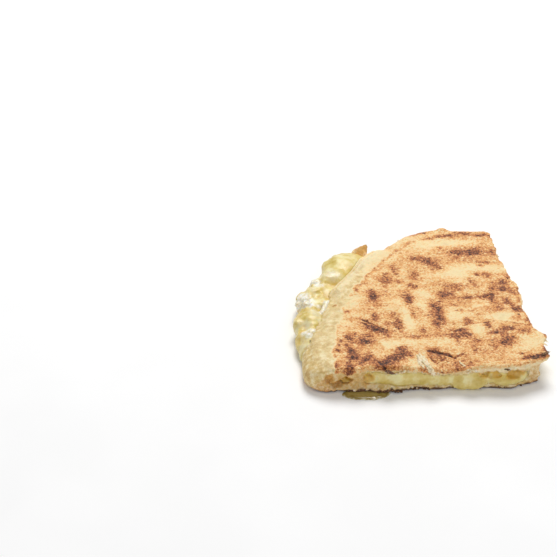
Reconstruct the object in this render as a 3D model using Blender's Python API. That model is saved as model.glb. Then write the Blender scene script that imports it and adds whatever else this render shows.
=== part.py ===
"""A quarter of a round flatbread sandwich, grilled in a pan over a melted cheese filling.

The bread is one pocket of dough. Two knife cuts open it, and the rim shuts it, apart from the stretch
where the cheese has burst out over the arc. The cheese runs through the pocket from cut to cut, and a
little of it has run out under the front cut.

Metres, +Z up. The front cut runs roughly along X and the side cut along Y; they meet at the apex. The
quarter rests on z = 0, with the origin under the middle of its box. Most functions work in plan
coordinates, x and y measured from the apex, where an angle runs from the front cut (0) to the side cut
(90 degrees).
"""

import math

import bmesh
import bpy
from mathutils import Matrix, Vector, noise

# The whole quarter
APEX = Vector((0.0499, -0.0527, 0.0))  # where the apex lies from the origin
THICKNESS = 0.0120
FRONT_REACH = 0.1020  # apex to rim along the front cut
SIDE_REACH = 0.1080
RIM_BULGE = 0.0102  # how far the rim stands out of true round, about one angle
RIM_BULGE_ANGLE = 71.0
RIM_BULGE_SPREAD = 13.0
FRONT_CORNER = 0.0100  # roundings in plan where the cuts meet the rim
SIDE_CORNER = 0.0045

# The knife cuts, as offsets from the straight axes
FRONT_SKEW = math.radians(5.0)
APEX_BLUNT = 0.0140  # length along the front cut over which the tip is worn blunt
APEX_BULGE = 0.0048
SIDE_SET_BACK = 0.0013
SIDE_TIP = 0.0026  # how far the top of the tip reaches past the rest of the side cut
SIDE_FLAP = 0.0036  # the torn flap that stands out of the side cut
SIDE_FLAP_AT = 0.0145
SIDE_FLAP_WIDTH = 0.0045
APEX_OVERHANG = 0.0032  # how far the top crust overhangs the bottom one at the tip
CUT_RAG = 0.0009
CUT_RAG_PITCH = 0.0060

# The rim's section
RIM_WIDTH_FRONT = 0.0145
RIM_WIDTH_SIDE = 0.0095
RIM_NOSE = 0.0030  # height of the widest point
RIM_UNDERSIDE = 0.0060

# Relief of the top and the underside
SWELL = 0.0006
SWELL_PITCH = 0.0190
SAGS = (  # x, y, half-width along x, half-width along y, depth
    (-0.0430, -0.0040, 0.0130, 0.0100, 0.0022),
    (-0.0300, 0.0480, 0.0120, 0.0090, 0.0008),
    (-0.0700, 0.0300, 0.0100, 0.0140, 0.0006),
)
BACK_LUMP = (-0.0222, 0.1100, 0.0028, 0.0036)  # x, y, half-width, height
UNDER_LIFT = (-0.0765, -0.0005, 0.0130, 0.0065, 0.0023)  # as in SAGS, where the cheese ran out

# The pocket and its filling
TOP_CRUST = 0.0027
BOTTOM_CRUST = 0.0019
CRUST_WAVE = 0.0006
CRUST_WAVE_PITCH = 0.0110
POCKET_LEVELS = (1.0 - TOP_CRUST / THICKNESS, BOTTOM_CRUST / THICKNESS)
RIM_WALL = 0.0130
BURST_WALL = 0.0025
BURST_FROM, BURST_TO = 14.0, 57.0
BURST_FADE = 7.0
CLEARANCE = 0.00040  # between the bread and the cheese
BEYOND_CUT = 0.0014  # how far the pocket's cutter runs past the knife cuts
PROUD = 0.0004  # the cheese stands this far out of the cuts

# Cheese that burst out: angle, distance from the apex, half-sizes across and along the rim, height
BURST = (
    (15.0, 0.0996, 0.0048, 0.0062, 0.0080),
    (20.0, 0.1014, 0.0058, 0.0076, 0.0098),
    (24.5, 0.1032, 0.0074, 0.0074, 0.0108),
    (30.0, 0.1046, 0.0074, 0.0096, 0.0092),
    (34.5, 0.1068, 0.0096, 0.0086, 0.0112),
    (39.5, 0.1076, 0.0088, 0.0104, 0.0096),
    (44.5, 0.1088, 0.0088, 0.0094, 0.0114),
    (49.5, 0.1118, 0.0104, 0.0104, 0.0124),
    (54.0, 0.1136, 0.0086, 0.0082, 0.0106),
)
LUMP_ROUGHNESS = 0.20
LUMP_PITCH = 0.0048

# Cheese that hangs over the bottom crust at the front cut: x, y, z, then half-sizes along x, y and z
OVERFLOWS = (
    (-0.0315, -0.0036, 0.0030, 0.0052, 0.0028, 0.0034),
    (-0.0195, -0.0036, 0.0034, 0.0036, 0.0022, 0.0026),
)

# Hollows where the filling stops short of the crust, in the same order as OVERFLOWS
HOLLOWS = (
    (-0.0868, 0.0018, 0.0056, 0.0048, 0.0060, 0.0027),
    (-0.0755, -0.0008, 0.0064, 0.0026, 0.0030, 0.0018),
    (-0.0275, -0.0050, 0.0072, 0.0032, 0.0028, 0.0015),
    (-0.0150, -0.0046, 0.0066, 0.0036, 0.0032, 0.0019),
    (0.0000, 0.0330, 0.0070, 0.0034, 0.0042, 0.0018),
    (-0.0004, 0.0620, 0.0068, 0.0030, 0.0050, 0.0016),
    (0.0000, 0.0880, 0.0058, 0.0044, 0.0048, 0.0024),
)

# The puddle under the front cut: centre, half-sizes in plan, height
DRIP_AT = Vector((-0.0765, -0.0015, 0.0))
DRIP_HALF = (0.0098, 0.0056)
DRIP_HEIGHT = 0.0016

# The shred of crust that stands at the far end of the tear
HORN_ROOT = Vector((-0.0572, 0.0900, 0.0048))
HORN_TIP = Vector((-0.0612, 0.0976, 0.0114))
HORN_RADIUS = 0.0034
HORN_TIP_RADIUS = 0.0006
HORN_FLATNESS = 0.5

# How finely the solids are divided
BREAD_ROWS = 30
POCKET_ROWS = 16
ROW_CROWDING = 1.25  # above 1, the rows crowd together near the rim
BURST_DIVISIONS = 3
LUMP_DIVISIONS = 2


def bump(distance, width):
    """1 at distance 0, falling smoothly to 0."""
    return math.exp(-((distance / width) ** 2))


def mound(x, y, shape):
    """Height of one of the dips or lifts that are listed as x, y, half-widths and height."""
    centre_x, centre_y, half_x, half_y, height = shape
    return height * bump(x - centre_x, half_x) * bump(y - centre_y, half_y)


def ripple(x, y, pitch, seed):
    """Smooth noise from -1 to 1 with bumps about a pitch apart."""
    return noise.noise(Vector((x / pitch, y / pitch, seed)))


def corner_loss(distance, radius):
    """How much a corner of this radius takes off an edge, this far from the corner."""
    short = max(0.0, min(radius, radius - distance))
    return radius - math.sqrt(radius**2 - short**2)


def round_reach(angle):
    """Distance from the apex to the rim at an angle in radians, before its corners were rounded."""
    bulge = RIM_BULGE * bump(math.degrees(angle) - RIM_BULGE_ANGLE, RIM_BULGE_SPREAD)
    return FRONT_REACH + (SIDE_REACH - FRONT_REACH) * angle / (math.pi / 2) + bulge


def rim_reach(angle):
    """Distance from the apex to the rim."""
    reach = round_reach(angle)
    reach -= corner_loss(angle * reach, FRONT_CORNER)
    return reach - corner_loss((math.pi / 2 - angle) * reach, SIDE_CORNER)


def burst_share(angle):
    """1 where the rim has burst, 0 where it is whole."""
    degrees = math.degrees(angle)
    rise = (degrees - BURST_FROM) / BURST_FADE + 0.5
    fall = (BURST_TO - degrees) / BURST_FADE + 0.5
    return max(0.0, min(1.0, rise, fall))


def pocket_reach(angle):
    """Distance from the apex to the end of the pocket."""
    return round_reach(angle) - RIM_WALL + (RIM_WALL - BURST_WALL) * burst_share(angle)


def front_cut(x, level):
    """How far the front cut lies from the X axis. Level is 1 at the bread's top and 0 at its underside."""
    along = -x
    if along < APEX_BLUNT:
        line = -APEX_BULGE * along / APEX_BLUNT
    else:
        line = -APEX_BULGE + (along - APEX_BLUNT) * math.tan(FRONT_SKEW)
    return line + CUT_RAG * rag(x, level, 3.7)


def side_cut(y, level):
    """How far the side cut lies from the Y axis."""
    flap = level * SIDE_FLAP * bump(y - SIDE_FLAP_AT, SIDE_FLAP_WIDTH)
    tip = level * SIDE_TIP * bump(y, APEX_BLUNT / 2)
    tuck = (1.0 - level) * APEX_OVERHANG * bump(y, APEX_BLUNT)
    return flap + tip - tuck - SIDE_SET_BACK + CUT_RAG * rag(y, level, 8.1)


def rag(along, level, seed):
    """The raggedness of a cut, which changes evenly from its top edge to its bottom edge."""
    upper = ripple(along, 0.0, CUT_RAG_PITCH, seed)
    lower = ripple(along, 0.0, CUT_RAG_PITCH, seed + 40.0)
    return lower + (upper - lower) * level


def polar(x, y):
    return math.hypot(x, y), math.atan2(max(y, 0.0), -x)


def top_height(x, y):
    """Height of the top crust over a point of the plan."""
    distance, angle = polar(x, y)
    width = RIM_WIDTH_FRONT + (RIM_WIDTH_SIDE - RIM_WIDTH_FRONT) * angle / (math.pi / 2)
    inward = max(0.0, min(1.0, (rim_reach(angle) - distance) / width))
    rounding = math.sqrt(1.0 - (1.0 - inward) ** 2)
    crown = THICKNESS + SWELL * ripple(x, y, SWELL_PITCH, 0.5) - sum(mound(x, y, s) for s in SAGS)
    lump_x, lump_y, half, height = BACK_LUMP
    lump = mound(x, y, (lump_x, lump_y, half, half, height))
    return RIM_NOSE + (crown - RIM_NOSE) * rounding + lump


def under_height(x, y):
    """Height of the underside: flat, apart from the rim and the stretch over the puddle."""
    distance, angle = polar(x, y)
    inward = max(0.0, min(1.0, (rim_reach(angle) - distance) / RIM_UNDERSIDE))
    rim = RIM_NOSE * (1.0 - math.sqrt(1.0 - (1.0 - inward) ** 2))
    lift = mound(x, y, UNDER_LIFT)
    return max(rim, lift if lift > 0.0001 else 0.0)


def pocket_roof(x, y):
    return top_height(x, y) - TOP_CRUST + CRUST_WAVE * ripple(x, y, CRUST_WAVE_PITCH, 5.2)


def pocket_floor(x, y):
    return under_height(x, y) + BOTTOM_CRUST + CRUST_WAVE * ripple(x, y, CRUST_WAVE_PITCH, 9.4)


def plan_point(s, t, reach, level, proud):
    """Maps the unit square to the quarter's plan. The cuts are t = 0 and s = 0, the rim s = 1 and t = 1.

    It is the usual map from a square to a disc, so its cells stay square at the apex too. Proud is how
    far the two cut edges stand out.
    """
    across = s * math.sqrt(1.0 - t * t / 2)
    away = t * math.sqrt(1.0 - s * s / 2)
    distance = math.hypot(across, away)
    angle = math.atan2(away, across) if distance > 0 else math.pi / 4
    x = -distance * reach(angle) * math.cos(angle)
    y = distance * reach(angle) * math.sin(angle)
    near_front = (1.0 - t) ** 4
    near_side = (1.0 - s) ** 4
    moved_x = x + (side_cut(y, level) + proud) * near_side
    moved_y = y + (front_cut(x, level) - proud) * near_front
    return moved_x, moved_y


def new_object(name, mesh, collection):
    obj = bpy.data.objects.new(name, mesh)
    collection.objects.link(obj)
    return obj


def slab(name, collection, rows, reach, roof, floor, levels, proud, beyond=0.0):
    """A closed wedge: a grid mapped to the plan at roof height, and its extrusion moved down to the floor.

    Levels say how high in the knife cuts the roof and the floor lie. The whole wedge stands proud of the
    cuts, and its very edge is moved out further by beyond.
    """
    bm = bmesh.new()
    bmesh.ops.create_grid(bm, x_segments=rows, y_segments=rows, size=1.0)
    square = {v: ((v.co.x + 1) / 2, (v.co.y + 1) / 2) for v in bm.verts}
    top = list(bm.verts)
    made = bmesh.ops.extrude_face_region(bm, geom=list(bm.faces))["geom"]
    bottom = [v for v in made if isinstance(v, bmesh.types.BMVert)]
    for old, new in zip(sorted(top, key=lambda v: v.co[:]), sorted(bottom, key=lambda v: v.co[:])):
        square[new] = square[old]
    for verts, level, height in ((top, levels[0], roof), (bottom, levels[1], floor)):
        for v in verts:
            s, t = (1.0 - (1.0 - share) ** ROW_CROWDING for share in square[v])
            x, y = plan_point(s, t, reach, level, proud)
            v.co = Vector((x + beyond * (s == 0.0), y - beyond * (t == 0.0), height(x, y))) + APEX
    bmesh.ops.recalc_face_normals(bm, faces=bm.faces)
    bmesh.ops.dissolve_limit(
        bm, angle_limit=math.radians(0.05), verts=bm.verts, edges=bm.edges, use_dissolve_boundaries=False
    )
    bmesh.ops.triangulate(bm, faces=bm.faces)
    mesh = bpy.data.meshes.new(name)
    bm.to_mesh(mesh)
    bm.free()
    return new_object(name, mesh, collection)


def lump(name, collection, centre, half_sizes, grow, on_floor, turn=0.0, divisions=LUMP_DIVISIONS):
    """An uneven ellipsoid, turned about Z and grown by a clearance.

    One on the floor is flat where it would reach below it.
    """
    bm = bmesh.new()
    bmesh.ops.create_icosphere(bm, subdivisions=divisions, radius=1.0)
    turned = Matrix.Rotation(turn, 3, "Z")
    for v in bm.verts:
        direction = v.co.copy()
        place = turned @ Vector(a * b for a, b in zip(direction, half_sizes)) + centre
        swell = 1.0 + LUMP_ROUGHNESS * noise.noise(place / LUMP_PITCH)
        v.co = turned @ Vector(a * (b * swell + grow) for a, b in zip(direction, half_sizes)) + centre
        if on_floor:
            v.co.z = max(v.co.z, 0.0)
        v.co += APEX
    mesh = bpy.data.meshes.new(name)
    bm.to_mesh(mesh)
    bm.free()
    return new_object(name, mesh, collection)


def burst_lumps(prefix, collection, grow, on_floor):
    """The lumps of cheese along the tear, each longer along the rim than across it."""
    for number, (degrees, distance, across, along, height) in enumerate(BURST):
        angle = math.radians(degrees)
        centre = Vector((-distance * math.cos(angle), distance * math.sin(angle), height * 0.46))
        half_sizes = (across, along, height * 0.54)
        name = f"{prefix}_{number}"
        lump(name, collection, centre, half_sizes, grow, on_floor, -angle, BURST_DIVISIONS)


def listed_lumps(prefix, collection, places, grow, on_floor):
    for number, (x, y, z, half_x, half_y, half_z) in enumerate(places):
        lump(f"{prefix}_{number}", collection, Vector((x, y, z)), (half_x, half_y, half_z), grow, on_floor)


def boolean(obj, operation, collection):
    modifier = obj.modifiers.new(operation.title(), "BOOLEAN")
    modifier.operation = operation
    modifier.operand_type = "COLLECTION"
    modifier.collection = collection
    modifier.solver = "EXACT"


def apply_modifiers(obj):
    """Replaces the object's mesh by what its modifiers make of it."""
    graph = bpy.context.evaluated_depsgraph_get()
    mesh = bpy.data.meshes.new_from_object(obj.evaluated_get(graph))
    obj.modifiers.clear()
    obj.data = mesh


def remove_collection(collection):
    for obj in list(collection.objects):
        bpy.data.objects.remove(obj, do_unlink=True)
    bpy.data.collections.remove(collection)


def helper_collection(name):
    collection = bpy.data.collections.new(name)
    bpy.context.scene.collection.children.link(collection)
    return collection


def food_material(name, colour, roughness):
    material = bpy.data.materials.new(name)
    material.use_nodes = True
    surface = material.node_tree.nodes["Principled BSDF"]
    surface.inputs["Base Color"].default_value = (*colour, 1.0)
    surface.inputs["Roughness"].default_value = roughness
    surface.inputs["Metallic"].default_value = 0.0
    return material


def shade(obj, material):
    obj.data.materials.clear()
    obj.data.materials.append(material)
    obj.data.shade_smooth()
    obj.data.set_sharp_from_angle(angle=math.radians(45.0))


def make_cheese(collection):
    """The filling: a slab from cut to cut, the lumps that burst out, and hollows next to the crust."""
    heights = pocket_roof, pocket_floor
    cheese = slab("cheese_filling", collection, POCKET_ROWS, pocket_reach, *heights, POCKET_LEVELS, PROUD)
    lumps = helper_collection("cheese_lumps")
    burst_lumps("burst", lumps, 0.0, on_floor=True)
    listed_lumps("overflow", lumps, OVERFLOWS, 0.0, on_floor=True)
    boolean(cheese, "UNION", lumps)
    apply_modifiers(cheese)
    remove_collection(lumps)
    hollows = helper_collection("cheese_hollows")
    listed_lumps("hollow", hollows, HOLLOWS, 0.0, on_floor=False)
    boolean(cheese, "DIFFERENCE", hollows)
    apply_modifiers(cheese)
    remove_collection(hollows)
    return cheese


def make_horn(collection):
    """A pointed shred of crust, leaning out over the tear."""
    bm = bmesh.new()
    along = HORN_TIP - HORN_ROOT
    turn = Vector((0.0, 0.0, 1.0)).rotation_difference(along).to_matrix().to_4x4()
    flat = Matrix.Diagonal((1.0, HORN_FLATNESS, 1.0, 1.0))
    bmesh.ops.create_cone(
        bm,
        cap_ends=True,
        segments=8,
        radius1=HORN_RADIUS,
        radius2=HORN_TIP_RADIUS,
        depth=along.length,
        matrix=Matrix.Translation((HORN_ROOT + HORN_TIP) / 2 + APEX) @ turn @ flat,
    )
    mesh = bpy.data.meshes.new("horn")
    bm.to_mesh(mesh)
    bm.free()
    return new_object("horn", mesh, collection)


def make_bread(collection):
    """The pocket of dough: the whole wedge, less the filling grown by a clearance."""
    heights = top_height, under_height
    bread = slab("flatbread", collection, BREAD_ROWS, rim_reach, *heights, (1.0, 0.0), 0.0)
    extras = helper_collection("bread_extras")
    make_horn(extras)
    boolean(bread, "UNION", extras)
    apply_modifiers(bread)
    remove_collection(extras)
    cutters = helper_collection("bread_cutters")
    slab(
        "pocket",
        cutters,
        POCKET_ROWS,
        lambda angle: pocket_reach(angle) + CLEARANCE,
        lambda x, y: pocket_roof(x, y) + CLEARANCE,
        lambda x, y: pocket_floor(x, y) - CLEARANCE,
        POCKET_LEVELS,
        PROUD,
        BEYOND_CUT,
    )
    burst_lumps("burst_room", cutters, CLEARANCE, on_floor=False)
    listed_lumps("overflow_room", cutters, OVERFLOWS, CLEARANCE, on_floor=False)
    boolean(bread, "DIFFERENCE", cutters)
    apply_modifiers(bread)
    remove_collection(cutters)
    return bread


def make_drip(collection):
    half_sizes = (*DRIP_HALF, DRIP_HEIGHT)
    return lump("cheese_drip", collection, DRIP_AT, half_sizes, 0.0, on_floor=True)


def main():
    for obj in list(bpy.data.objects):
        bpy.data.objects.remove(obj, do_unlink=True)
    collection = helper_collection("grilled_cheese_sandwich")
    melted = food_material("melted_cheese", (0.80, 0.70, 0.38), 0.32)
    crust = food_material("toasted_bread", (0.76, 0.50, 0.24), 0.70)
    shade(make_cheese(collection), melted)
    shade(make_drip(collection), melted)
    shade(make_bread(collection), crust)


main()
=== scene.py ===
"""A quarter of a grilled, cheese-filled flatbread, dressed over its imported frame.

The bread, its filling and the puddle are closed bodies, each taken as the zero surface of a field on a
grid. Their large forms repeat the frame's. Raggedness, pores, curds, creases and crumbs come on top.
Plan coordinates are millimetres from the apex, as in the frame's source: x runs to minus along the front
cut, y along the side cut, z up from the floor.
"""

import itertools
import math

import bmesh
import bpy
import numpy as np
from mathutils import Matrix, Vector, noise


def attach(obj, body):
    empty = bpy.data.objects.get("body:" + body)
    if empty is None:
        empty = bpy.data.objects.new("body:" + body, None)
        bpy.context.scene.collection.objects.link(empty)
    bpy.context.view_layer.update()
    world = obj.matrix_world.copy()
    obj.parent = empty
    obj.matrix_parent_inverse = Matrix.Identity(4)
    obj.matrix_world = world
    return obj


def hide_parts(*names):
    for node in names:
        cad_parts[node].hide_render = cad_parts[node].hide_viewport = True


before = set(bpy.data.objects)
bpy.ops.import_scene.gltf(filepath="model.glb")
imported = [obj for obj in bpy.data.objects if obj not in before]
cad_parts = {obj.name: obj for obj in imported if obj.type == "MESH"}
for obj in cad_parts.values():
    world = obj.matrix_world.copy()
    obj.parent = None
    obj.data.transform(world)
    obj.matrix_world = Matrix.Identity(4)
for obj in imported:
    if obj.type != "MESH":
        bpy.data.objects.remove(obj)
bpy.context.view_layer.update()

MM = 0.001
APEX = np.array((49.9, -52.7, 0.0))  # the apex from the frame's origin

# The whole quarter
THICKNESS = 12.0
FRONT_REACH = 102.0
SIDE_REACH = 108.0
RIM_BULGE, RIM_BULGE_ANGLE, RIM_BULGE_SPREAD = 10.2, 71.0, 13.0
FRONT_CORNER = 10.0
SIDE_CORNER = 4.5

# The knife cuts
FRONT_SKEW = math.radians(5.0)
APEX_BLUNT = 14.0
APEX_BULGE = 4.8
SIDE_SET_BACK = 1.3
SIDE_TIP = 2.6
SIDE_FLAP, SIDE_FLAP_AT, SIDE_FLAP_WIDTH = 3.6, 14.5, 4.5
APEX_OVERHANG = 3.2
SIDE_WAVES = ((82.0, 9.0, -1.3), (52.0, 7.0, 1.3), (36.0, 5.0, -0.9), (0.0, 5.0, -0.7))  # y, half-width, out
TAB_FROM, TAB_TO, TAB_SLOPE = 0.72, 0.92, 0.32  # where the tip's crust juts out, as shares of the thickness
CUT_RAG, CUT_RAG_PITCH = 0.9, 6.0
ROUGH_PITCHES = (4.2, 1.9, 0.95)  # the coarse, middle and fine unevenness of the bodies
CRUMB_ROUGH = (0.45, 0.46, 0.38)  # and how much of each the opened crumb has
CRUMB_OUT = 0.25
OPEN_FROM, OPEN_TO, OPEN_MORE = 70.0, 78.0, 0.6  # the front left corner's crumb is more open

# The rim's section
RIM_WIDTH_FRONT, RIM_WIDTH_SIDE = 14.5, 9.5
RIM_NOSE = 3.0
RIM_UNDERSIDE = 6.0

# Relief
SWELL, SWELL_PITCH = 0.6, 19.0
CRUST_NOISE = ((0, 5.0, 0.24), (1, 2.1, 0.16), (2, 1.0, 0.10))  # lattice, pitch, height
RELIEF_HEIGHTS = (3.0, 8.0)  # between these the crust's relief fades in
WRINKLE_LONG, WRINKLE_WIDE, WRINKLE_HEIGHT = 7.0, 1.7, 0.30
WRINKLES_END, WRINKLES_FADE = 15.0, 8.0  # distances in from the rim
SAGS = (  # x, y, half-widths, depth
    (-43.0, -4.0, 13.0, 10.0, 2.2),
    (-30.0, 48.0, 12.0, 9.0, 0.8),
    (-70.0, 30.0, 10.0, 14.0, 0.6),
)
BACK_LUMP = (-22.2, 110.0, 2.8, 2.8, 3.6)
UNDER_LIFT = (-76.5, -0.5, 13.0, 6.5, 0.9)

# The pocket and its filling
TOP_CRUST, BOTTOM_CRUST = 2.7, 1.9
CRUST_WAVE, CRUST_WAVE_PITCH = 0.6, 11.0
RIM_WALL, BURST_WALL = 13.0, 2.5
BURST_FROM, BURST_TO, BURST_FADE = 14.0, 57.0, 7.0
POCKET_ROUND, POCKET_END_ROUGH = 4.5, 1.4
FILLING_MARGIN = 0.8  # how far the bread stays back from the pocket's walls behind the cuts
PROUD, PROUD_ROUND = 0.35, 1.5
HANG_FROM, HANG_DROP = -33.0, 1.6  # from where, and how far, torn crumb hangs over the filling
HANG_FADE = 6.0
WALL_FROM, WALL_TO = -10.0, -7.0  # where the tip's torn crumb covers the filling
CORNER_FROM, CORNER_TO = -75.0, -78.0  # and where the corner's does
COVER_DEPTH, COVER_ROUGH = 1.3, 1.5
BURST = (  # angle, distance, half-sizes across and along the rim, height
    (15.0, 99.6, 4.8, 6.2, 8.0),
    (20.0, 101.4, 5.8, 7.6, 9.8),
    (24.5, 103.2, 7.4, 7.4, 10.8),
    (30.0, 104.6, 7.4, 9.6, 9.2),
    (34.5, 106.8, 9.6, 8.6, 11.2),
    (39.5, 107.6, 8.8, 10.4, 9.6),
    (44.5, 108.8, 8.8, 9.4, 11.4),
    (49.5, 111.8, 10.4, 10.4, 12.4),
    (53.2, 113.4, 8.0, 7.4, 10.4),
)
LUMP_MIDDLE, LUMP_BLEND = 0.46, 2.4  # where a lump is widest, as a share of its height, and how it runs into the next
MILKY_BLEND, CURD_BLEND, FIBRE_BLEND, STRAND_BLEND = 1.2, 0.6, 0.3, 0.5  # how rounded each meets the burst
DIP_BLEND, SLAB_BLEND, OVERFLOW_BLEND = 2.6, 1.6, 1.2
OVERFLOWS = (  # x, y, z, half-sizes
    (-31.5, -3.0, 2.4, 4.6, 2.4, 2.6),
    (-35.5, -3.0, 2.6, 5.0, 1.6, 2.6),
    (-19.5, -3.6, 3.4, 3.6, 1.4, 2.6),
)
HOLLOWS = (
    (-84.2, 1.4, 6.0, 2.0, 3.8, 1.8),
    (-86.2, 1.5, 4.8, 2.0, 3.4, 1.5),
    (-88.4, 1.6, 3.6, 1.9, 3.0, 1.1),
    (-75.5, -0.8, 6.4, 2.6, 3.0, 1.8),
    (-27.5, -5.0, 7.2, 3.2, 2.8, 1.5),
    (-15.0, -4.6, 6.6, 3.6, 3.2, 1.9),
    (0.0, 33.0, 7.0, 3.4, 4.2, 1.8),
    (-0.4, 62.0, 6.8, 3.0, 5.0, 1.6),
    (0.0, 88.0, 5.8, 4.4, 4.8, 2.4),
)
DRIP_AT = (-76.9, -1.5)
DRIP_HALF = (10.2, 5.4)
DRIP_MIDDLE, DRIP_SLANT = 0.86, 0.20  # how the puddle widens towards the apex
DRIP_HEIGHT = 1.1
DRIP_GRID_STEP = 0.25
HORN = ((-58.0, 88.0, 6.2), (-64.4, 94.4, 7.8), (-60.2, 97.6, 11.8))  # root, bend and tip
HORN_RADII = (2.6, 3.8, 0.5)
HORN_FLATNESS = 0.36
HORN_FACING = (0.10, 0.84, -0.53)
LIP_MIDDLE, LIP_SPAN, LIP_FADE = 48.0, 9.5, 5.0  # degrees
LIP_STEEP = 0.60
LIP_OUT, LIP_OUT_MIDDLE, LIP_OUT_SPAN = 2.6, 54.0, 7.0
LIP_SET_BACK = 0.9
LIP_THICKNESS = 1.7
LIP_INWARD = 9.0
HIGHEST = 12.75
FLOOR_GAP = 0.05
CRUST_ROUND = 0.5
SIDE_TORN = 0.3  # the side cut's share of the front's torn edge

# The grid that the bodies are meshed on
GRID_STEP = 0.45
GRID_LOW = np.array((-104.4, -9.9, -1.35))
GRID_HIGH = np.array((5.4, 119.7, 14.4))
CONTACT_OVERLAP = 0.05
EDGE_TEAR, EDGE_TEAR_PITCH, EDGE_TEAR_HEIGHTS = 0.9, 2.7, (7.5, 9.5)  # how the top crust is torn at the cuts
TOE_OUT, TOE_AT, TOE_HALF, TOE_HEIGHT = 2.2, -73.0, 13.0, 3.6  # where the bottom crust sticks out
MOST_TRIANGLES = 190000


def bump(distance, width):
    return np.exp(-((distance / width) ** 2))


def mound(x, y, shape):
    centre_x, centre_y, half_x, half_y, height = shape
    return height * bump(x - centre_x, half_x) * bump(y - centre_y, half_y)


def smooth_step(value, low, high):
    share = np.clip((value - low) / (high - low), 0.0, 1.0)
    return share * share * (3.0 - 2.0 * share)


def ripple(x, y, pitch, seed):
    """The frame's smooth noise, at arrays of points."""
    x, y = np.broadcast_arrays(x, y)
    flat = [noise.noise((a / pitch, b / pitch, seed)) for a, b in zip(x.ravel(), y.ravel())]
    return np.array(flat, np.float32).reshape(x.shape)


def soft_max(a, b, width):
    return np.maximum(a, b) + width / 4 * np.clip(1.0 - np.abs(a - b) / width, 0.0, None) ** 2


def soft_min(a, b, width):
    return -soft_max(-a, -b, width)


class Lattice:
    """Smooth random values in space, from -1 to 1, that repeat every SIZE cells."""

    SIZE = 48

    def __init__(self, seed):
        values = np.random.default_rng(seed).uniform(-1.0, 1.0, (self.SIZE,) * 3)
        self.values = values.astype(np.float32)

    def grid(self, axes, pitch):
        """Values at every point of a regular grid with these three axes, one axis at a time."""
        out = self.values
        for number, axis in enumerate(axes):
            place = np.asarray(axis) / pitch
            low = np.floor(place).astype(int)
            share = (place - low).astype(np.float32)
            share = share * share * (3.0 - 2.0 * share)
            out = np.moveaxis(out, number, 0)
            before, after = out[low % self.SIZE], out[(low + 1) % self.SIZE]
            share = share.reshape((-1,) + (1,) * (out.ndim - 1))
            out = np.moveaxis(before + (after - before) * share, 0, number)
        return out

    def at(self, points, pitch):
        """Values at an array of points."""
        place = points / pitch
        low = np.floor(place).astype(int)
        share = place - low
        share = share * share * (3.0 - 2.0 * share)
        total = np.zeros(len(points))
        for corner in itertools.product((0, 1), repeat=3):
            weight = np.prod(np.where(corner, share, 1.0 - share), axis=1)
            i, j, k = ((low + corner) % self.SIZE).T
            total += weight * self.values[i, j, k]
        return total


NOISES = [Lattice(seed) for seed in range(8)]


def corner_loss(distance, radius):
    short = np.clip(radius - distance, 0.0, radius)
    return radius - np.sqrt(radius**2 - short**2)


def round_reach(angle):
    bulge = RIM_BULGE * bump(np.degrees(angle) - RIM_BULGE_ANGLE, RIM_BULGE_SPREAD)
    return FRONT_REACH + (SIDE_REACH - FRONT_REACH) * angle / (math.pi / 2) + bulge


def rim_reach(angle):
    reach = round_reach(angle)
    reach = reach - corner_loss(angle * reach, FRONT_CORNER)
    return reach - corner_loss((math.pi / 2 - angle) * reach, SIDE_CORNER)


def burst_share(angle):
    degrees = np.degrees(angle)
    rise = (degrees - BURST_FROM) / BURST_FADE + 0.5
    fall = (BURST_TO - degrees) / BURST_FADE + 0.5
    return np.clip(np.minimum(rise, fall), 0.0, 1.0)


def pocket_reach(angle):
    return round_reach(angle) - RIM_WALL + (RIM_WALL - BURST_WALL) * burst_share(angle)


def rag(along, level, seed):
    upper = ripple(along, 0.0, CUT_RAG_PITCH, seed)
    lower = ripple(along, 0.0, CUT_RAG_PITCH, seed + 40.0)
    return lower + (upper - lower) * level


def front_cut(x, level):
    along = -x
    blunt = -APEX_BULGE * along / APEX_BLUNT
    straight = -APEX_BULGE + (along - APEX_BLUNT) * math.tan(FRONT_SKEW)
    return np.where(along < APEX_BLUNT, blunt, straight) + CUT_RAG * rag(x, level, 3.7)


def side_cut(y, level):
    flap = level * SIDE_FLAP * bump(y - SIDE_FLAP_AT, SIDE_FLAP_WIDTH)
    tip = level * SIDE_TIP * bump(y, APEX_BLUNT / 2)
    tuck = (1.0 - level) * APEX_OVERHANG * bump(y, APEX_BLUNT)
    waves = sum(out * bump(y - at, half) for at, half, out in SIDE_WAVES)
    return flap + tip - tuck - SIDE_SET_BACK + waves + CUT_RAG * rag(y, level, 8.1)


def polar(x, y):
    return np.hypot(x, y), np.arctan2(np.maximum(y, 0.0), -x)


def inside_cuts(x, y):
    """How far a point lies inside the nearer knife cut."""
    return np.minimum(y - front_cut(x, 0.5), side_cut(y, 0.5) - x)


def rim_width(angle):
    return RIM_WIDTH_FRONT + (RIM_WIDTH_SIDE - RIM_WIDTH_FRONT) * angle / (math.pi / 2)


def crown_height(x, y):
    """Height of the top away from the rim."""
    return THICKNESS + SWELL * ripple(x, y, SWELL_PITCH, 0.5) - sum(mound(x, y, s) for s in SAGS)


def top_height(x, y):
    distance, angle = polar(x, y)
    inward = np.clip((rim_reach(angle) - distance) / rim_width(angle), 0.0, 1.0)
    rounding = np.sqrt(1.0 - (1.0 - inward) ** 2)
    return RIM_NOSE + (crown_height(x, y) - RIM_NOSE) * rounding + mound(x, y, BACK_LUMP)


def under_height(x, y):
    distance, angle = polar(x, y)
    inward = np.clip((rim_reach(angle) - distance) / RIM_UNDERSIDE, 0.0, 1.0)
    rim = RIM_NOSE * (1.0 - np.sqrt(1.0 - (1.0 - inward) ** 2))
    return np.maximum(rim, mound(x, y, UNDER_LIFT))


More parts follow.
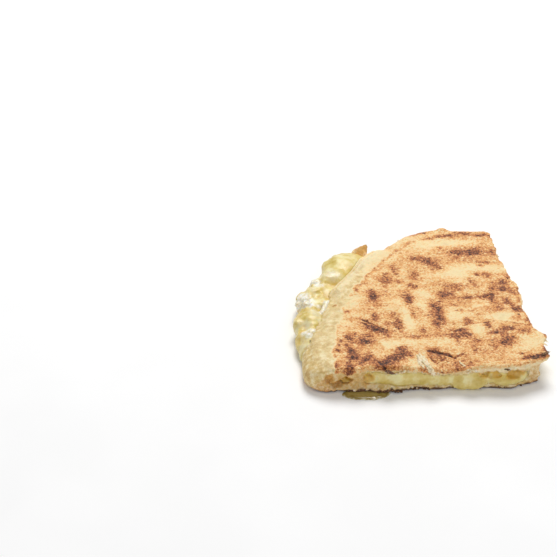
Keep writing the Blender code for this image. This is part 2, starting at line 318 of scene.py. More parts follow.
def turned(x, y, centre_x, centre_y, degrees):
    """Coordinates about a centre, along and across a direction."""
    cos, sin = math.cos(math.radians(degrees)), math.sin(math.radians(degrees))
    return (x - centre_x) * cos + (y - centre_y) * sin, (y - centre_y) * cos - (x - centre_x) * sin


# Relief of the crust that only the dressed part has: x, y, half-length, half-width, turn, height
FOLDS = (
    (-68.5, 29.0, 7.5, 1.9, -49.0, 0.55),  # the charred flake
    (-44.5, 7.2, 3.6, 0.7, -23.0, -0.55),  # the crease over the sag
    (-40.0, 4.6, 2.6, 0.5, -40.0, -0.35),
    (-36.5, 4.2, 2.6, 0.5, 32.0, -0.30),
    (-65.5, 4.2, 6.0, 1.8, 32.0, 0.25),
    (-39.5, 36.5, 2.4, 8.0, 0.0, 0.25),
)


# Ridges and grooves of the lip over the tear: distance in from the rim, half-width, height
LIP_FOLDS = ((1.5, 0.8, 0.7), (3.0, 0.6, -1.0), (4.8, 1.0, 0.5))


def lip_share(angle):
    """1 where the top crust ends in a lip over the tear."""
    return smooth_step(-np.abs(np.degrees(angle) - LIP_MIDDLE), -LIP_SPAN - LIP_FADE, -LIP_SPAN)


def lip_reach(angle):
    """How far the lip reaches out, past the rim of the rest."""
    out = LIP_OUT * bump(np.degrees(angle) - LIP_OUT_MIDDLE, LIP_OUT_SPAN)
    return rim_reach(angle) + out * lip_share(angle)


def rim_wrinkles(x, y):
    """Creases that run along the rim, fading towards the middle."""
    distance, angle = polar(x, y)
    inward = rim_reach(angle) - distance
    along, across = (angle * distance / WRINKLE_LONG).ravel(), (inward / WRINKLE_WIDE).ravel()
    flat = NOISES[5].at(np.stack((along, across, np.zeros(along.size)), axis=1), 1.0).reshape(x.shape)
    return WRINKLE_HEIGHT * flat * smooth_step(-inward, -WRINKLES_END, -WRINKLES_FADE)


def crust_relief(x, y, axes):
    """Blisters, folds and fine unevenness of the top."""
    flat = (axes[0], axes[1], (0.0,))
    full_x, full_y = np.broadcast_arrays(x, y)
    relief = sum(height * NOISES[n].grid(flat, pitch)[..., 0] for n, pitch, height in CRUST_NOISE)
    relief = relief + rim_wrinkles(full_x, full_y)
    for centre_x, centre_y, long, wide, degrees, height in FOLDS:
        along, across = turned(x, y, centre_x, centre_y, degrees)
        relief = relief + height * bump(along, long) * bump(across, wide)
    for line, half_width, strength in CREASES:
        relief = relief - CREASE_DEPTH * strength * bump(line_distance(full_x, full_y, line), 0.8 * half_width)
    distance, angle = polar(x, y)
    folds = sum(height * bump(lip_reach(angle) - distance - at, wide) for at, wide, height in LIP_FOLDS)
    return relief + folds * lip_share(angle)


# Pits in the cut face: x, y, z, half-sizes
PITS = (
    (-91.8, 1.6, 6.3, 1.5, 1.6, 1.9),
    (-76.2, -0.4, 5.8, 1.5, 2.2, 2.2),
    (-23.7, -4.6, 6.9, 3.0, 1.6, 1.6),
    (-13.9, -5.0, 6.4, 3.8, 1.8, 1.7),
    (-29.6, -4.6, 7.6, 1.6, 1.2, 0.9),
)

# Places of the rim that the cheese has soaked: x, y, half-sizes
SOAKED = (
    (-79.0, 60.4, 2.6, 4.2),
    (-83.6, 49.0, 2.4, 4.4),
    (-87.6, 39.4, 2.4, 4.0),
    (-76.0, 67.0, 1.7, 3.0),
    (-90.6, 31.6, 2.2, 3.0),
    (-81.0, 42.0, 1.8, 2.8),
)

# Curds that stand out of the burst: x, y, z, half-sizes
CURDS = (
    (-87.5, 72.2, 8.0, 2.3, 1.7, 1.5),
    (-86.6, 68.2, 8.7, 1.7, 1.5, 1.3),
    (-94.4, 59.2, 8.4, 3.2, 2.8, 2.0),
    (-92.4, 55.8, 8.1, 2.8, 2.4, 1.7),
    (-96.4, 58.6, 6.8, 2.3, 2.2, 2.0),
    (-91.0, 52.8, 8.0, 1.8, 1.5, 1.2),
    # These three: white cheese with painted glints on it
    (-94.7, 33.2, 8.7, 1.6, 1.2, 1.0),
    (-97.0, 33.0, 8.1, 1.5, 1.2, 1.0),
    (-95.8, 31.0, 8.3, 1.2, 1.0, 0.9),
    (-77.6, 92.4, 6.4, 2.2, 2.0, 1.6),
    (-87.0, 78.4, 4.6, 1.8, 2.4, 1.5),
    (-69.0, 94.6, 5.6, 2.4, 1.6, 1.4),
)
MILKY_LUMP = (-92.0, 45.4, 8.6, 2.2, 4.2, 1.7)
# This lump carries a painted highlight; the strand is pale cheese with a painted highlight along it
PAINTED_HIGHLIGHT_LUMP = (-79.5, 74.6, 9.8, 3.2, 2.8, 1.8)
CHEESE_STRAND = ((-84.9, 54.0, 9.7), (-88.2, 46.8, 9.3), 1.15)
DOME_AT, DOME_SIZE, DOME_SMOOTH = (-72.0, 82.0), 10.0, 0.75
DOME_HEIGHTS = (5.0, 9.0)  # between these the dome gets smooth
DOME_YELLOW = (-71.5, 80.0)
BURST_DIPS = (
    (-83.6, 60.6, 11.0, 2.4, 5.0, 2.4),
    (-79.6, 68.2, 11.4, 3.0, 1.8, 2.2),
    (-88.6, 60.2, 10.8, 1.6, 3.0, 2.0),
    (-97.4, 37.2, 9.6, 1.3, 1.8, 1.6),
)
STRANDS = 26  # short fibres over the curds


def grid_axes():
    return [np.arange(low, high, GRID_STEP) for low, high in zip(GRID_LOW, GRID_HIGH)]


def ellipsoid(x, y, z, shape):
    """About the distance from the surface of an ellipsoid: its centre and half-sizes."""
    centre, half_sizes = shape[:3], shape[3:]
    squares = [((value - c) / half) ** 2 for value, c, half in zip((x, y, z), centre, half_sizes)]
    return (np.sqrt(sum(squares)) - 1.0) * min(half_sizes)


def capsule(x, y, z, start, end, radius):
    """Distance from a rod with round ends."""
    start, end = np.array(start), np.array(end)
    along = end - start
    place = [value - s for value, s in zip((x, y, z), start)]
    share = np.clip(sum(p * float(a) for p, a in zip(place, along)) / float(along @ along), 0.0, 1.0)
    gaps = [p - share * float(a) for p, a in zip(place, along)]
    return np.sqrt(sum(g**2 for g in gaps)) - radius


def burst_field(x, y, z):
    """The lumps along the tear, run together."""
    field = np.full(np.broadcast_shapes(x.shape, y.shape, z.shape), 50.0, np.float32)
    for degrees, distance, across, along, height in BURST:
        angle = math.radians(degrees)
        centre_x, centre_y = -distance * math.cos(angle), distance * math.sin(angle)
        out, beside = turned(x, y, centre_x, centre_y, 180.0 - degrees)
        top_half = height * (1.0 - LUMP_MIDDLE)
        lump = ellipsoid(out, beside, z, (0.0, 0.0, height * LUMP_MIDDLE, across, along, top_half))
        field = soft_min(field, lump, LUMP_BLEND)
    return field


def curd_strands():
    """Short fibres scattered over the curds: start, end and radius."""
    rng = np.random.default_rng(5)
    for number in range(STRANDS):
        place = CURDS[number % len(CURDS)]
        middle = np.array(place[:3]) + rng.uniform(-0.8, 0.8, 3) * place[3:]
        half = rng.uniform(-1.0, 1.0, 3) * (1.0, 1.0, 0.2)
        half = half / np.linalg.norm(half) * rng.uniform(0.8, 1.9)
        yield middle - half, middle + half, rng.uniform(0.40, 0.75)


def toe(x):
    """How far the bottom crust sticks out of the front cut."""
    return TOE_OUT * bump(x - TOE_AT, TOE_HALF)


def cut_fields(axes, level):
    """How far outside each knife cut a point lies, with the cut's fine raggedness."""
    x, y, z = np.meshgrid(*axes, indexing="ij", sparse=True)
    upper, lower = front_cut(axes[0], 1.0), front_cut(axes[0], 0.0)
    line = lower[:, None, None] + (upper - lower)[:, None, None] * level
    front = line - y
    upper, lower = side_cut(axes[1], 1.0), side_cut(axes[1], 0.0)
    jutting = TAB_SLOPE * level + (1.0 - TAB_SLOPE) * smooth_step(level, TAB_FROM, TAB_TO)
    level = level + (jutting - level) * bump(y, APEX_BLUNT)
    line = lower[None, :, None] + (upper - lower)[None, :, None] * level
    side = x - line
    return front.astype(np.float32), side.astype(np.float32)


def skin_fields(flat_x, flat_y, z, axes, angle, inward):
    """The top skin with its relief and the underside, which meet at the rim's nose."""
    width = (rim_width(angle) * (1.0 - LIP_STEEP * lip_share(angle)))[..., None]
    relief = crust_relief(flat_x, flat_y, axes)[..., None]
    crown = (crown_height(flat_x, flat_y) + mound(flat_x, flat_y, BACK_LUMP))[..., None]
    rise = crown - RIM_NOSE
    beyond = np.clip((width - inward) / width, 0.0, None)
    above = np.clip((z - RIM_NOSE) / rise, 0.0, None)
    top = (np.sqrt(beyond**2 + above**2) - 1.0) * rise - relief * smooth_step(z, *RELIEF_HEIGHTS)
    beyond = np.clip((RIM_UNDERSIDE - inward) / RIM_UNDERSIDE, 0.0, None)
    below = np.clip((RIM_NOSE - z) / RIM_NOSE, 0.0, None)
    bottom = (np.sqrt(beyond**2 + below**2) - 1.0) * RIM_NOSE
    return top, np.maximum(bottom, mound(flat_x, flat_y, UNDER_LIFT)[..., None] - z)


def pocket_field(flat_x, flat_y, z, coarse, middle):
    """The pocket between the crusts, and the height of its roof."""
    distance, angle = polar(flat_x, flat_y)
    waves = CRUST_WAVE * ripple(flat_x, flat_y, CRUST_WAVE_PITCH, 5.2)
    roof = (top_height(flat_x, flat_y) - TOP_CRUST + waves)[..., None]
    waves = CRUST_WAVE * ripple(flat_x, flat_y, CRUST_WAVE_PITCH, 9.4)
    floor = (under_height(flat_x, flat_y) + BOTTOM_CRUST + waves)[..., None]
    end = (distance - pocket_reach(angle))[..., None]
    pocket = soft_max(np.maximum(z - roof, floor - z), end + POCKET_END_ROUGH * coarse, POCKET_ROUND)
    return pocket + 0.40 * coarse + 0.22 * middle, roof


def cover_share(x, z, roof, coarse, front, side):
    """1 where torn crumb covers the filling in the front cut."""
    hang = smooth_step(x, HANG_FROM, HANG_FROM + HANG_FADE)
    hang = hang * smooth_step(z - roof + HANG_DROP + COVER_ROUGH * coarse, -0.5, 0.5)
    wall = smooth_step(x + COVER_ROUGH * coarse, WALL_FROM, WALL_TO)
    wall = np.maximum(wall, smooth_step(-x + COVER_ROUGH * coarse, -CORNER_FROM, -CORNER_TO))
    return np.maximum(hang, wall) * smooth_step(front - side, -1.0, 1.0)


def torn_cheese(x, y, z, coarse, middle, fine):
    """The burst: its lumps, with the curds, the fibres, the dips and the strand."""
    smooth = DOME_SMOOTH * bump(x - DOME_AT[0], DOME_SIZE) * bump(y - DOME_AT[1], DOME_SIZE)
    smooth = smooth * smooth_step(z, *DOME_HEIGHTS)
    torn = burst_field(x, y, z) + (0.80 * coarse + 0.36 * middle) * (1.0 - smooth)
    torn = soft_min(torn, ellipsoid(x, y, z, PAINTED_HIGHLIGHT_LUMP), LUMP_BLEND)
    torn = soft_min(torn, ellipsoid(x, y, z, MILKY_LUMP) + 0.5 * middle, MILKY_BLEND)
    for place in CURDS:
        curd = ellipsoid(x, y, z, place) + 0.45 * middle + 0.55 * fine
        torn = soft_min(torn, curd, CURD_BLEND)
    for start, end, radius in curd_strands():
        torn = soft_min(torn, capsule(x, y, z, start, end, radius) + 0.15 * fine, FIBRE_BLEND)
    for place in BURST_DIPS:
        torn = soft_max(torn, -ellipsoid(x, y, z, place) - 0.6 * middle, DIP_BLEND)
    return soft_min(torn, capsule(x, y, z, *CHEESE_STRAND) + 0.2 * fine, STRAND_BLEND)


def lip_field(z, top, angle, inward, middle, fine):
    """The flap of top crust that curls over the tear, clear of the floor."""
    edge = LIP_SET_BACK - inward + 0.35 * middle + 0.25 * fine
    ends = (0.5 - lip_share(angle))[..., None] * 12.0
    lip = np.maximum(np.maximum(top, -top - LIP_THICKNESS), np.maximum(np.maximum(edge, inward - LIP_INWARD), ends))
    return np.maximum(lip, FLOOR_GAP - z)


def build_fields(axes):
    """The fields of the bread and the cheese, negative inside."""
    x, y, z = (a.astype(np.float32) for a in np.meshgrid(*axes, indexing="ij", sparse=True))
    flat_x, flat_y = x[..., 0], y[..., 0]
    distance, angle = polar(flat_x, flat_y)
    inward = (lip_reach(angle) - distance)[..., None]
    top, bottom = skin_fields(flat_x, flat_y, z, axes, angle, inward)
    coarse, middle, fine = (NOISES[3 + n].grid(axes, pitch) for n, pitch in enumerate(ROUGH_PITCHES))
    level = np.clip(z / THICKNESS, 0.0, 1.0) * np.ones_like(top)
    front, side = cut_fields(axes, level)
    outside = np.maximum(front, side)

    pocket, roof = pocket_field(flat_x, flat_y, z, coarse, middle)
    covered = cover_share(x, z, roof, coarse, front, side)
    slab = soft_max(pocket, outside - PROUD + COVER_DEPTH * covered, PROUD_ROUND) + 0.18 * middle
    cheese = soft_min(slab, torn_cheese(x, y, z, coarse, middle, fine), SLAB_BLEND)
    for place in OVERFLOWS:
        cheese = soft_min(cheese, ellipsoid(x, y, z, place) + 0.35 * middle, OVERFLOW_BLEND)
    lip = lip_field(z, top, angle, inward, middle, fine)
    cheese = np.maximum(np.maximum(cheese, -lip), np.maximum(FLOOR_GAP - z, z - HIGHEST))

    crumb = sum(share * rough for share, rough in zip(CRUMB_ROUGH, (coarse, middle, fine))) - CRUMB_OUT
    torn_edge = EDGE_TEAR * NOISES[7].grid(axes, EDGE_TEAR_PITCH) * smooth_step(z, *EDGE_TEAR_HEIGHTS)
    open_end = 1.0 + OPEN_MORE * smooth_step(-x, OPEN_FROM, OPEN_TO)
    front = front - toe(x) * smooth_step(-z, -TOE_HEIGHT, -0.5 * TOE_HEIGHT)
    cut = soft_max(front + crumb * open_end + torn_edge, side + crumb + SIDE_TORN * torn_edge, 0.6)
    bread = soft_max(soft_max(top, bottom, CRUST_ROUND), cut, CRUST_ROUND)
    before_filling = np.maximum(pocket + FILLING_MARGIN, -outside - 0.5)
    before_filling = np.maximum(before_filling, 2.0 * covered - 1.0)
    bread = np.maximum(np.maximum(bread, -cheese - CONTACT_OVERLAP), -before_filling)
    bread = soft_min(bread, lip, 0.4)
    for place in (*PITS, *HOLLOWS):
        pit = 0.7 * middle + 0.4 * fine - ellipsoid(x, y, z, place)
        bread, cheese = soft_max(bread, pit, CRUST_ROUND), soft_max(cheese, pit, CRUST_ROUND)
    horn = np.minimum(*(leaf_field(x, y, z, n) for n in (0, 1))) + 0.12 * fine
    bread = np.maximum(soft_min(bread, horn, CRUST_ROUND), z - HIGHEST)
    return bread, np.maximum(cheese, -horn - CONTACT_OVERLAP)


def leaf_field(x, y, z, number):
    """One length of the flattened shred, which tapers along it."""
    root, tip = np.array(HORN[number]), np.array(HORN[number + 1])
    along = tip - root
    length = float(np.linalg.norm(along))
    along = along / length
    flat = np.cross(along, HORN_FACING)
    flat = flat / np.linalg.norm(flat)
    thin = np.cross(along, flat)
    place = [value - r for value, r in zip((x, y, z), root)]
    run, wide, thick = (sum(p * float(a) for p, a in zip(place, axis)) for axis in (along, flat, thin))
    share = np.clip(run / length, 0.0, 1.0)
    radius = HORN_RADII[number] + (HORN_RADII[number + 1] - HORN_RADII[number]) * share**1.4
    gap = np.sqrt(wide**2 + (thick / HORN_FLATNESS) ** 2 + (run - share * length) ** 2) - radius
    return (gap * 0.6).astype(np.float32)


def surface_net(field):
    """The field's zero surface as points in grid units and quads."""
    inside = field < 0
    shape = np.array(field.shape) - 1
    corners = list(itertools.product((0, 1), repeat=3))

    def corner_view(array, corner):
        return array[tuple(slice(c, c + n) for c, n in zip(corner, shape))]

    count = sum(corner_view(inside, c).astype(np.int8) for c in corners)
    active = (count > 0) & (count < 8)
    cells = np.argwhere(active)
    number = np.full(active.shape, -1, np.int64)
    number[active] = np.arange(len(cells))
    values = [corner_view(field, c)[active] for c in corners]
    total = np.zeros((len(cells), 3))
    crossings = np.zeros(len(cells))
    for a, b in itertools.combinations(range(8), 2):
        step = np.array(corners[b]) - np.array(corners[a])
        if abs(step).sum() != 1:
            continue
        crossed = (values[a] < 0) != (values[b] < 0)
        share = values[a][crossed] / (values[a][crossed] - values[b][crossed])
        total[crossed] += np.array(corners[a]) + share[:, None] * step
        crossings[crossed] += 1
    points = cells + total / crossings[:, None]
    quads = []
    for axis in range(3):
        first, second = (axis + 1) % 3, (axis + 2) % 3
        window = [slice(1, -1)] * 3
        window[axis] = slice(None, -1)
        lower = inside[tuple(window)]
        window[axis] = slice(1, None)
        upper = inside[tuple(window)]
        place = np.argwhere(lower != upper)
        outward = lower[tuple(place.T)]
        ring = []
        for step_first, step_second in ((0, 0), (1, 0), (1, 1), (0, 1)):
            cell = place.copy()
            cell[:, first] += step_first
            cell[:, second] += step_second
            ring.append(number[tuple(cell.T)])
        ring = np.stack(ring, axis=1)
        ring[~outward] = ring[~outward][:, ::-1]
        quads.append(ring)
    return points, np.concatenate(quads)


def largest_body(points, quads):
    """Drops every loose island but the largest."""
    label = np.arange(len(points))
    while True:
        low = label[quads].min(axis=1)
        fresh = label.copy()
        for column in range(4):
            np.minimum.at(fresh, quads[:, column], low)
        fresh = fresh[fresh]
        if np.array_equal(fresh, label):
            break
        label = fresh
    names, counts = np.unique(label, return_counts=True)
    keep = label == names[np.argmax(counts)]
    renumber = np.cumsum(keep) - 1
    return points[keep], renumber[quads[keep[quads[:, 0]]]]


def mesh_from(name, points, quads):
    mesh = bpy.data.meshes.new(name)
    mesh.vertices.add(len(points))
    mesh.vertices.foreach_set("co", ((points + APEX) * MM).astype(np.float32).ravel())
    mesh.loops.add(quads.size)
    mesh.loops.foreach_set("vertex_index", quads.ravel().astype(np.int32))
    mesh.polygons.add(len(quads))
    mesh.polygons.foreach_set("loop_start", np.arange(0, quads.size, 4, dtype=np.int32))
    mesh.update(calc_edges=True)
    mesh.validate()
    return mesh


def plan_places(mesh):
    """The mesh's points in plan millimetres."""
    flat = np.empty(len(mesh.vertices) * 3, np.float32)
    mesh.vertices.foreach_get("co", flat)
    return flat.reshape(-1, 3).astype(float) / MM - APEX


def add_object(name, data):
    obj = bpy.data.objects.new(name, data)
    bpy.context.scene.collection.objects.link(obj)
    return obj


def new_piece(name, mesh, material, slot_name, *nodes):
    obj = add_object(name, mesh)
    obj.data.materials.append(material)
    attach(obj, "root")
    if nodes:
        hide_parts(*nodes)
    return obj


def hidden_share(points):
    """1 for what the bread covers: the pocket's inside and the underside, well away from the cuts."""
    x, y, z = points.T
    distance, angle = polar(x, y)
    from_cuts = inside_cuts(x, y)
    covered = np.where(burst_share(angle) > 0, 106.0 - 22.0, 200.0)
    shut = smooth_step(from_cuts, 4.0, 7.0) * (distance < covered)
    below_top = smooth_step(top_height(x, y) - z, 1.0, 1.6)
    under = (z < 0.4) & (rim_reach(angle) - distance > 7.0)
    return np.clip(shut * below_top + under, 0.0, 1.0)


def thin_out(obj):
    """Brings the piece under the most triangles, taking them first from what is never seen."""
    group = obj.vertex_groups.new(name="hidden")
    for index, share in enumerate(hidden_share(plan_places(obj.data))):
        if share > 0:
            group.add([index], float(share), "REPLACE")
    for group_name in ("hidden", ""):
        triangles = sum(len(p.vertices) - 2 for p in obj.data.polygons)
        if triangles <= MOST_TRIANGLES:
            break
        modifier = obj.modifiers.new("Thin", "DECIMATE")
        modifier.vertex_group = group_name
        modifier.ratio = MOST_TRIANGLES / triangles
        graph = bpy.context.evaluated_depsgraph_get()
        mesh = bpy.data.meshes.new_from_object(obj.evaluated_get(graph))
        obj.modifiers.clear()
        obj.data = mesh
    obj.vertex_groups.clear()


def set_attribute(mesh, name, values):
    attribute = mesh.attributes.new(name, "FLOAT", "POINT")
    attribute.data.foreach_set("value", np.asarray(values, np.float32))


# Toasting of the top: x, y, half-length, half-width, strength and, for some, the turn in degrees
TOAST_MARKS = (
    # around the flake
    (-68, 28.8, 6.2, 2.2, 0.88, -49), (-66.5, 36.5, 1.5, 2.5, 0.8), (-58.2, 38.5, 1, 1.2, 0.6),
    (-57.8, 30.5, 2.2, 4, 0.74), (-62, 31.5, 2, 2, 0.48), (-73.1, 19.2, 2.8, 2, 0.86), (-80.1, 22, 1.5, 2.5, 0.76),
    (-81.5, 13.7, 1.5, 1.5, 0.75), (-81.7, 8.7, 1.8, 2.5, 0.8), (-83.5, 1.5, 2, 2.5, 0.86),
    (-82.6, 17.4, 0.8, 0.8, 0.62), (-78.8, 8.3, 1, 2.5, 0.7), (-78.5, 3.3, 1, 1, 0.65),
    (-75.6, 6, 3.6, 1.8, 0.86, 55), (-74, 2.8, 1.2, 1.2, 0.7), (-86.5, 14.2, 0.8, 0.8, 0.8),
    (-85.4, 17.6, 0.6, 0.6, 0.6), (-88.1, 4.2, 0.7, 0.9, 0.6), (-77.7, 43, 0.7, 0.7, 1), (-79, 24.6, 2.6, 2, 0.42),
    (-72.6, 24, 2.6, 1.8, 0.6), (-75.6, 20.2, 2.2, 1.8, 0.6), (-79.6, 13, 1.6, 2.2, 0.45),
    (-84.4, 20.4, 1, 1.6, 0.45), (-67.6, 13.6, 1.1, 1.8, 0.25), (-60.8, 55, 3, 3.6, 0.22), (-82.4, 49, 0.7, 0.7, 1),
    # the hatched streak at the front
    (-65.5, 4.2, 6.6, 2.5, 0.9, 32), (-69, 1.9, 1.8, 1.2, 1), (-60, 12.3, 1.5, 1, 0.86),
    (-57.4, 7.4, 2.6, 1.2, 0.45, -55), (-60, 10.5, 2.5, 2, 0.6),
    # the middle
    (-50, 50, 2, 5, 0.64), (-49.5, 49.5, 0.9, 2, 0.9), (-50, 38, 1.2, 5, 0.35), (-46.7, 39.6, 1.5, 2, 0.4),
    (-48.1, 24.2, 1.5, 2, 0.45), (-52.4, 19, 2, 1.5, 0.5), (-53, 20, 9, 0.8, 0.22), (-39.5, 36.5, 3, 9, 0.62),
    (-38.3, 40.5, 1.3, 1.8, 0.9), (-39.2, 32.5, 1.2, 1.6, 0.9), (-41.7, 28.5, 1.2, 1.5, 0.8),
    (-39.9, 44, 1, 1.5, 0.86), (-36.5, 46.5, 0.5, 0.5, 0.9), (-32.8, 51.5, 3, 3.2, 0.8), (-23.3, 47.8, 2.5, 1.8, 0.7),
    (-27.6, 57.5, 3, 1.6, 0.36), (-26.7, 54.5, 1.5, 1.2, 0.35), (-26.8, 43, 4.6, 3, 0.3),
    (-22.2, 56.5, 1.6, 1.6, 0.35),
    # the cluster by the side cut
    (-17.6, 47.6, 1.3, 1.2, 0.5), (-15.4, 48, 1.1, 1.2, 0.5), (-13.1, 47.8, 2, 2.3, 0.93),
    (-11.7, 53, 1.2, 1.8, 0.76), (-6.7, 52.6, 2, 2, 0.84), (-13.5, 44.2, 1, 2.5, 0.6), (-3.3, 48.7, 1.5, 1.5, 0.7),
    (-7.2, 42.8, 1.3, 2, 0.76), (-5.8, 39.2, 1.2, 1.5, 0.7), (-4.8, 35.2, 1.8, 2, 0.85), (-4.9, 31.2, 0.6, 0.6, 1),
    (-2.2, 62, 0.8, 2, 0.8), (-4.9, 57.5, 2.2, 2.6, 0.76), (-9.5, 57, 2.6, 2.2, 0.36), (-6.7, 28.7, 2, 1.5, 0.35),
    (-10.4, 41, 1.5, 2, 0.35), (-15.4, 36.9, 4.2, 2.7, 0.34), (-11.5, 37.4, 1.2, 1.5, 0.6),
    (-24.9, 36.9, 2.6, 1, 0.35), (-30.5, 42.5, 0.6, 0.6, 0.6), (-30.5, 38, 0.6, 0.6, 0.6),
    (-28.3, 38.3, 0.6, 0.6, 0.6), (-22.4, 33.7, 0.6, 0.6, 0.6),
    # towards the apex
    (-27.6, 29.2, 1.8, 2.2, 0.76), (-32.6, 23.3, 2.5, 0.9, 0.86), (-31.3, 20.1, 2.5, 2.2, 0.76),
    (-35.8, 19.6, 2, 2, 0.76), (-34.9, 15.5, 1, 2.3, 0.52), (-29.5, 18.7, 1.5, 1.2, 0.66),
    (-27.2, 14.4, 1.3, 0.9, 0.5), (-19.9, 24.6, 1.5, 2.5, 0.76), (-18.5, 18.7, 1.7, 1.2, 0.96),
    (-13.1, 21, 2.5, 1.5, 0.8), (-10.4, 21, 1.2, 1.2, 0.7), (-14.2, 17.4, 1.5, 1.2, 0.7), (-14.5, 12.4, 3, 2.5, 0.76),
    (-16.3, 11, 1.2, 1.5, 0.8), (-12.2, 14.2, 1.2, 1.2, 0.7), (-5.4, 18.7, 3, 2, 0.58), (-29.5, 7.4, 0.8, 0.8, 0.6),
    (-29.5, 10, 0.8, 0.8, 0.6), (-20.8, 8.3, 0.8, 0.8, 0.6), (-22.5, 9, 12, 5, 0.26),
    # the crease over the sag, and the front edge
    (-46, 7, 3.5, 4.5, 0.45), (-44.5, 7.2, 3.4, 0.9, 0.9, -23), (-38, 1, 4, 1.8, 0.22), (-37.6, -2, 5.5, 1.6, 0.42),
    (-52.5, -2, 2.5, 1.2, 0.52), (-5, 0, 5.5, 1.5, 0.8, 12), (-11, 2.4, 0.9, 0.7, 0.8), (0, 5, 1.2, 2.2, 0.7),
    (-2.2, 26.2, 1, 1, 0.7), (-0.6, 22.4, 1, 2.8, 0.6),
    # the back
    (-57.2, 66, 2.6, 3.2, 0.66), (-56.3, 71.2, 1, 1, 0.66), (-51.7, 75.3, 1.5, 3, 0.7), (-51.3, 70.3, 0.9, 0.9, 0.6),
    (-58.1, 61, 0.9, 0.9, 0.6), (-65, 53.5, 1.8, 4, 0.9), (-71.3, 59.4, 1, 1.5, 0.6), (-35.8, 79, 5, 2.5, 0.76, -51),
    (-41.3, 82, 1, 1.5, 0.6), (-31.7, 73.5, 1.5, 1.5, 0.6), (-43.3, 68.5, 2.3, 3.4, 0.52),
    (-46.7, 60.7, 1.2, 1.5, 0.6), (-44.9, 58.9, 1.2, 1.2, 0.6), (-51.3, 63.9, 1, 1, 0.6),
    (-27.2, 90.5, 0.7, 0.7, 0.8), (-20.4, 86.2, 2.5, 2, 0.76), (-12.6, 85.3, 3.5, 2.5, 0.86), (-15, 86, 13, 5, 0.25),
    (-16, 100.6, 12, 2.4, 0.26, 2), (-4, 83, 1.5, 2, 0.6), (-10.8, 75.9, 4.6, 0.9, 0.66, -13),
    (-11.7, 73, 1.5, 1, 0.6), (-15.4, 65.7, 0.8, 0.8, 0.6), (-11.7, 64.8, 2.5, 2, 0.62), (-17.6, 66.6, 2.5, 2, 0.2),
    (-19.5, 61.2, 1, 2, 0.5), (-60, 77, 5, 3.6, 0.16, 45), (-18.1, 57.5, 1.3, 3, 0.5), (-17, 78, 5, 3, 0.16),
    # the line where the toasted top folds over into the rim
    (-31.3, 106.2, 0.8, 0.8, 0.96), (-30, 99, 1.2, 0.8, 0.6), (-25, 100.5, 2, 0.9, 0.6), (-20.4, 101.2, 2, 0.9, 0.8),
    (-15.4, 103, 2.2, 0.8, 0.6), (-12.2, 102, 1.5, 0.9, 0.8), (-5.8, 99.8, 1.8, 1, 0.8), (-1.7, 98, 1.2, 1, 0.6),
    (-37.2, 104.8, 2.5, 1.2, 0.4), (-34, 107, 1.5, 0.9, 0.6),
)

# Where the toast is missing: x, y, half-sizes
PALE_PATCHES = (
    (-41.2, 52, 3.2, 3.6), (-44.4, 43.4, 2.4, 4.4), (-32.5, 34.4, 6, 4.4), (-25.3, 21, 3, 3.8),
    (-11.5, 30.6, 5.8, 3.4), (-52.8, 32, 2.2, 8.4), (-59, 16, 9.6, 3.6), (-66, 16, 1.6, 3), (-11, 10, 7, 5),
    (-19.5, 94.2, 9.5, 2.4), (-16.5, 69, 13, 6), (-52.5, 3, 5.2, 5.4),
)

# Thin dark creases: points, half-width, strength
CREASE_DEPTH = 0.5
CREASES = (
    (((-72.9, 37.0), (-68.4, 32.6), (-63.5, 26.7)), 0.75, 0.75),
    (((-72.6, 33.6), (-69.4, 29.6), (-66.0, 26.4)), 0.60, 0.55),
    (((-48.6, 9.2), (-45.2, 7.8), (-41.6, 6.7), (-38.8, 3.9)), 0.80, 0.75),
    (((-38.8, 3.9), (-34.0, 6.2)), 0.70, 0.65),
    (((-46.5, 1.4), (-43.1, 4.0), (-42.3, 2.1)), 0.55, 0.60),
    (((-49.8, 6.7), (-47.6, 2.1)), 0.55, 0.45),
    (((-40.4, 4.3), (-39.0, 0.9), (-37.8, -2.6)), 0.50, 0.20),
    (((-34.6, 5.6), (-33.3, 2.0), (-32.2, -3.1)), 0.50, 0.32),
    (((-30.0, 26.4), (-14.0, 27.6), (-2.4, 22.6)), 0.60, 0.30),
    (((-62.0, 22.4), (-48.0, 19.6), (-36.0, 20.4)), 0.60, 0.14),
    (((-1.8, 28.0), (0.8, 20.0), (2.8, 12.6), (2.2, 9.4)), 0.90, 0.45),
    (((-10.6, -0.8), (-5.0, 0.0), (0.9, 2.2)), 1.30, 0.60),
)

MARK_WEIGHT, MARK_SPREAD = 0.89, 1.10
MARK_REACH = 4.0  # marks fade out at this many half-sizes

TOAST_BASE = 0.22
RIM_TOAST, RIM_TOAST_FROM, RIM_TOAST_TO = 0.25, 44.0, 72.0  # the rim is browner towards the back
TORN_AT, TORN_SPAN = 40.0, 16.0  # where the toast fades out towards the tear
PALE_SHARE = 0.66
SIDE_EDGE, SIDE_EDGE_FROM, SIDE_EDGE_TO = 0.30, 26.0, 60.0  # the browned edge along the side cut

# The line where the toasted top ends, from the front corner round to the side cut
TOAST_END = (
    (-88.6, -1.0), (-88.5, 12.4), (-85.8, 21.5), (-84.0, 29.5), (-78.4, 46.0), (-71.7, 59.5), (-66.7, 67.5),
    (-59.5, 78.5), (-50.0, 88.0), (-40.0, 97.0), (-25.0, 101.5), (-4.7, 99.5), (2.0, 98.0),
)


def line_distance(x, y, line):
    """Distance to a chain of segments, and on which side of it a point lies: positive towards the apex."""
    best = np.full(x.shape, 1e9)
    side = np.zeros(x.shape)
    for (ax, ay), (bx, by) in zip(line, line[1:]):
        ux, uy = bx - ax, by - ay
        share = np.clip(((x - ax) * ux + (y - ay) * uy) / (ux * ux + uy * uy), 0.0, 1.0)
        gap = np.hypot(x - ax - share * ux, y - ay - share * uy)
        nearer = gap < best
        best = np.where(nearer, gap, best)
        turn = (x - ax) * uy - (y - ay) * ux
        side = np.where(nearer, np.sign(turn), side)
    return best * side


